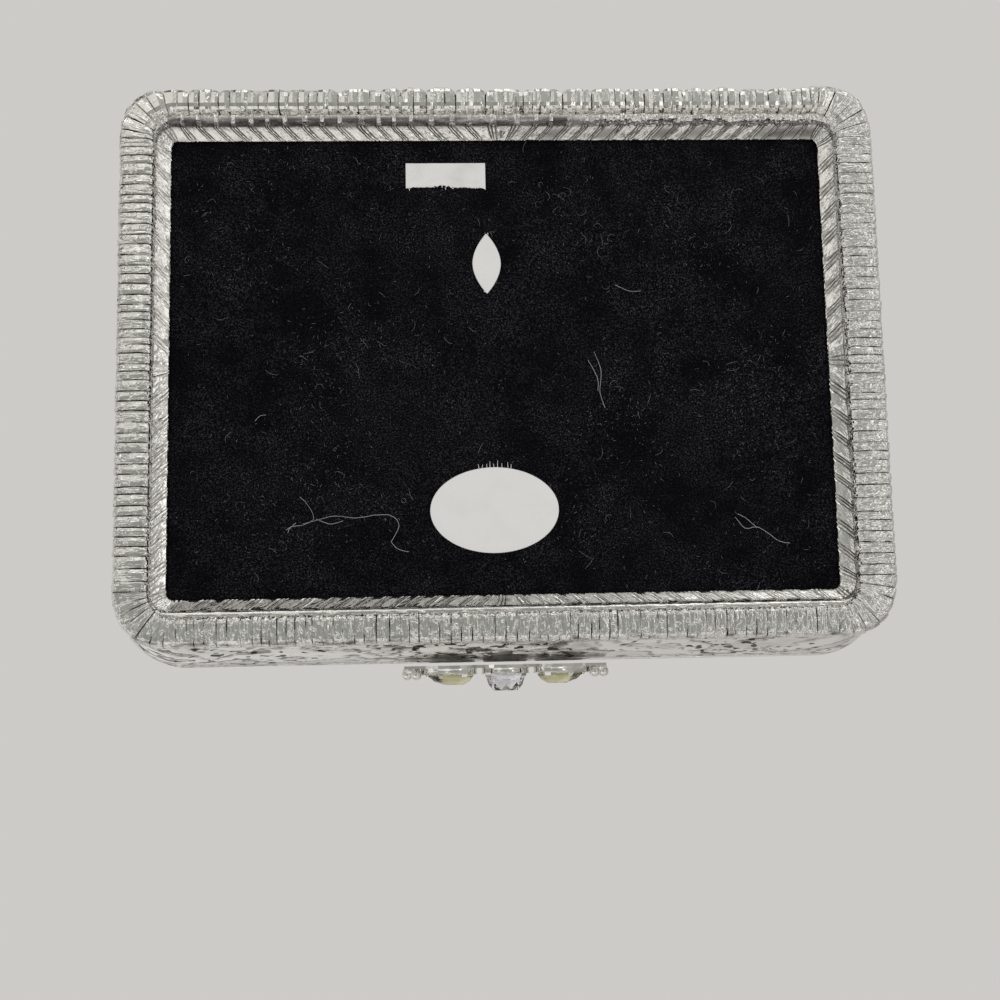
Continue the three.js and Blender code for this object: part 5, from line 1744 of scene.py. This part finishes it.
def claw(x, y, toward_x, toward_y, width, base_height, tip_height):
    """A bent claw: a narrow strip that rises outside the cup and folds in over the stone."""
    across = np.array([-toward_y, toward_x, 0.0])
    inward = np.array([toward_x, toward_y, 0.0])
    spine = [(0.0, base_height, 0.5), (-0.06, (base_height + tip_height) / 2, 0.5),
             (0.02, tip_height - 0.12, 0.5), (0.24, tip_height + 0.06, 0.42),
             (0.52, tip_height + 0.05, 0.2)]
    points, faces = [], []
    for push, height, half in spine:
        centre = np.array([x, y, height]) + inward * push
        for side, thick in ((-1, 0.0), (1, 0.0), (1, 0.22), (-1, 0.22)):
            points.append(centre + across * side * half * width + inward * -thick * 0.5
                          + np.array([0, 0, thick * 0.5 if push > 0.1 else 0.0]))
    for step in range(len(spine) - 1):
        low, high = step * 4, step * 4 + 4
        for index in range(4):
            after = (index + 1) % 4
            faces.append((low + index, low + after, high + after, high + index))
    faces.append((3, 2, 1, 0))
    top = (len(spine) - 1) * 4
    faces.append((top, top + 1, top + 2, top + 3))
    return np.array(points), faces


def joined(parts):
    """Several point and face lists as one."""
    points, faces, count = [], [], 0
    for part_points, part_faces in parts:
        points.append(np.asarray(part_points, float))
        faces += [tuple(count + index for index in face) for face in part_faces]
        count += len(part_points)
    return np.concatenate(points), faces


# From the cup's foot up its outside, over its lip and down inside, as (mm outwards, height).
CUP_LEVELS = [
    (0.0, CUP_BOTTOM), (0.0, CUP_BOTTOM + 0.08), (-0.06, CUP_BOTTOM + 0.2), (-0.04, CUP_TOP - 0.2),
    (0.02, CUP_TOP - 0.06), (-0.02, CUP_TOP), (-0.14, CUP_TOP + 0.02), (-0.3, CUP_TOP - 0.04),
    (-0.35, CUP_TOP - 0.2), (-0.35, CUP_FLOOR),
]
round_rim = circle_points(48, CUP_RADIUS, 0.0)[:, :2]
parts = [ring_solid(round_rim, CUP_LEVELS)]
for quarter in range(4):
    angle = math.radians(45 + 90 * quarter)
    parts.append(claw(CUP_RADIUS * math.cos(angle), CUP_RADIUS * math.sin(angle), -math.cos(angle),
                      -math.sin(angle), 0.8, CUP_BOTTOM + 0.1, CUP_TOP + 0.35))
cup_points, cup_faces = joined(parts)
add_piece("centre_cup", at_front(cup_points), cup_faces, smooth_silver, "lid", "centre_setting",
          None, 40.0)
for side_name, side in (("left", -1), ("right", 1)):
    parts = [ring_solid(pear_outline(side, 0.47, 48)[::side], CUP_LEVELS)]
    for x, y in ((SIDE_STONE_X + 2.9, 0.0), (SIDE_STONE_X - 1.6, 2.25), (SIDE_STONE_X - 1.6, -2.25),
                 (SIDE_STONE_X + 1.2, 1.72), (SIDE_STONE_X + 1.2, -1.72)):
        aim = np.array([SIDE_STONE_X - 0.6 - x, -y])
        aim = aim / np.linalg.norm(aim)
        parts.append(claw(side * x, y, side * aim[0], aim[1], 0.75, CUP_BOTTOM + 0.1, CUP_TOP + 0.25))
    cup_points, cup_faces = joined(parts)
    add_piece(f"{side_name}_cup", at_front(cup_points), cup_faces, smooth_silver, "lid",
              f"{side_name}_setting", None, 40.0)
print("cups and claws ready")

# %% Bead clusters and the plate
def ball(x, y, z, radius, rows=12, columns=20):
    """Points and faces of one bead."""
    points, faces = [], []
    for row in range(rows + 1):
        tilt = math.pi * row / rows
        for column in range(columns):
            swing = 2 * math.pi * column / columns
            points.append((x + radius * math.sin(tilt) * math.cos(swing),
                           y + radius * math.sin(tilt) * math.sin(swing), z + radius * math.cos(tilt)))
    for row in range(rows):
        for column in range(columns):
            after = (column + 1) % columns
            faces.append((row * columns + column, (row + 1) * columns + column,
                          (row + 1) * columns + after, row * columns + after))
    return np.array(points), faces


BEAD_DISC_X = 11.41
BEAD_RADIUS = 0.68
BEAD_HEIGHT = 1.08
GRAIN_RING = 0.92
GRAIN_RADIUS = 0.17
for side_name, side in (("left", -1), ("right", 1)):
    disc_rim = circle_points(32, 0.9, 0.0)[:, :2] + (side * BEAD_DISC_X, 0.0)
    parts = [ring_solid(disc_rim, [(0.0, 0.4), (0.0, 0.8), (-0.1, 0.95), (-0.3, 1.05)])]
    for x, y in ((BEAD_DISC_X + 0.55, 0.0), (BEAD_DISC_X - 0.55, 0.66), (BEAD_DISC_X - 0.55, -0.66)):
        parts.append(ball(side * x, y, BEAD_HEIGHT, BEAD_RADIUS))
    for step in range(9):
        angle = step / 9 * 2 * math.pi
        parts.append(ball(side * BEAD_DISC_X + GRAIN_RING * math.cos(angle),
                          GRAIN_RING * math.sin(angle), 0.58, GRAIN_RADIUS, 6, 8))
    bead_points, bead_faces = joined(parts)
    add_piece(f"{side_name}_bead_cluster", at_front(bead_points), bead_faces, smooth_silver, "lid",
              f"{side_name}_beads", None, 40.0)
print("beads ready")

# %% [markdown]
# ## Pieces that keep their CAD shape
#
# The hinge leaves, the pins, the ornament's plate and the pad's card are already right. They keep
# their meshes and get a finish of their own, and all but the card get rounded edges from a bevel
# modifier.

# %% Finish the carried-over nodes
def carry_over(node, material, bevel=0.0):
    """Gives a CAD node its finish, and rounded edges of a width in mm."""
    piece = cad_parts[node]
    piece.data.materials.clear()
    piece.data.materials.append(material)
    if bevel:
        rounding = piece.modifiers.new("rounded_edges", "BEVEL")
        rounding.width = bevel * MM
        rounding.segments = 2
        rounding.limit_method = "ANGLE"
        rounding.angle_limit = math.radians(40)


for side_name in ("left", "right"):
    carry_over(f"{side_name}_hinge_body_leaf", smooth_silver, 0.09)
    carry_over(f"{side_name}_hinge_lid_leaf", smooth_silver, 0.09)
    carry_over(f"{side_name}_hinge_pin", pin_steel, 0.06)
# The plate is polished in front only. Its back, close before the wall, is dull, so that the wall
# mirrors a paler surface there.
plate_silver = silver_finish("plate_silver", SILVER, roughness=0.08, ripple_scale=500.0,
                             pit_scale=2000.0, bump=0.15)
plate_tree = plate_silver.node_tree
plate_place = add_node(plate_tree, "ShaderNodeTexCoord")
plate_depth = add_node(plate_tree, "ShaderNodeSeparateXYZ", wires={0: plate_place.outputs["Object"]})
front_share = add_node(plate_tree, "ShaderNodeMath", {"operation": "LESS_THAN"},
                       {1: (OUTLINE_Y - PLATE_BACK - 0.055) * MM}, {0: plate_depth.outputs["Y"]})
plate_tree.links.new(front_share.outputs[0], plate_tree.nodes["Principled BSDF"].inputs["Metallic"])
carry_over("ornament_plate", plate_silver, 0.08)
carry_over("pad_board", card_finish)
print("carried over:", [name for name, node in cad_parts.items() if not node.hide_render])
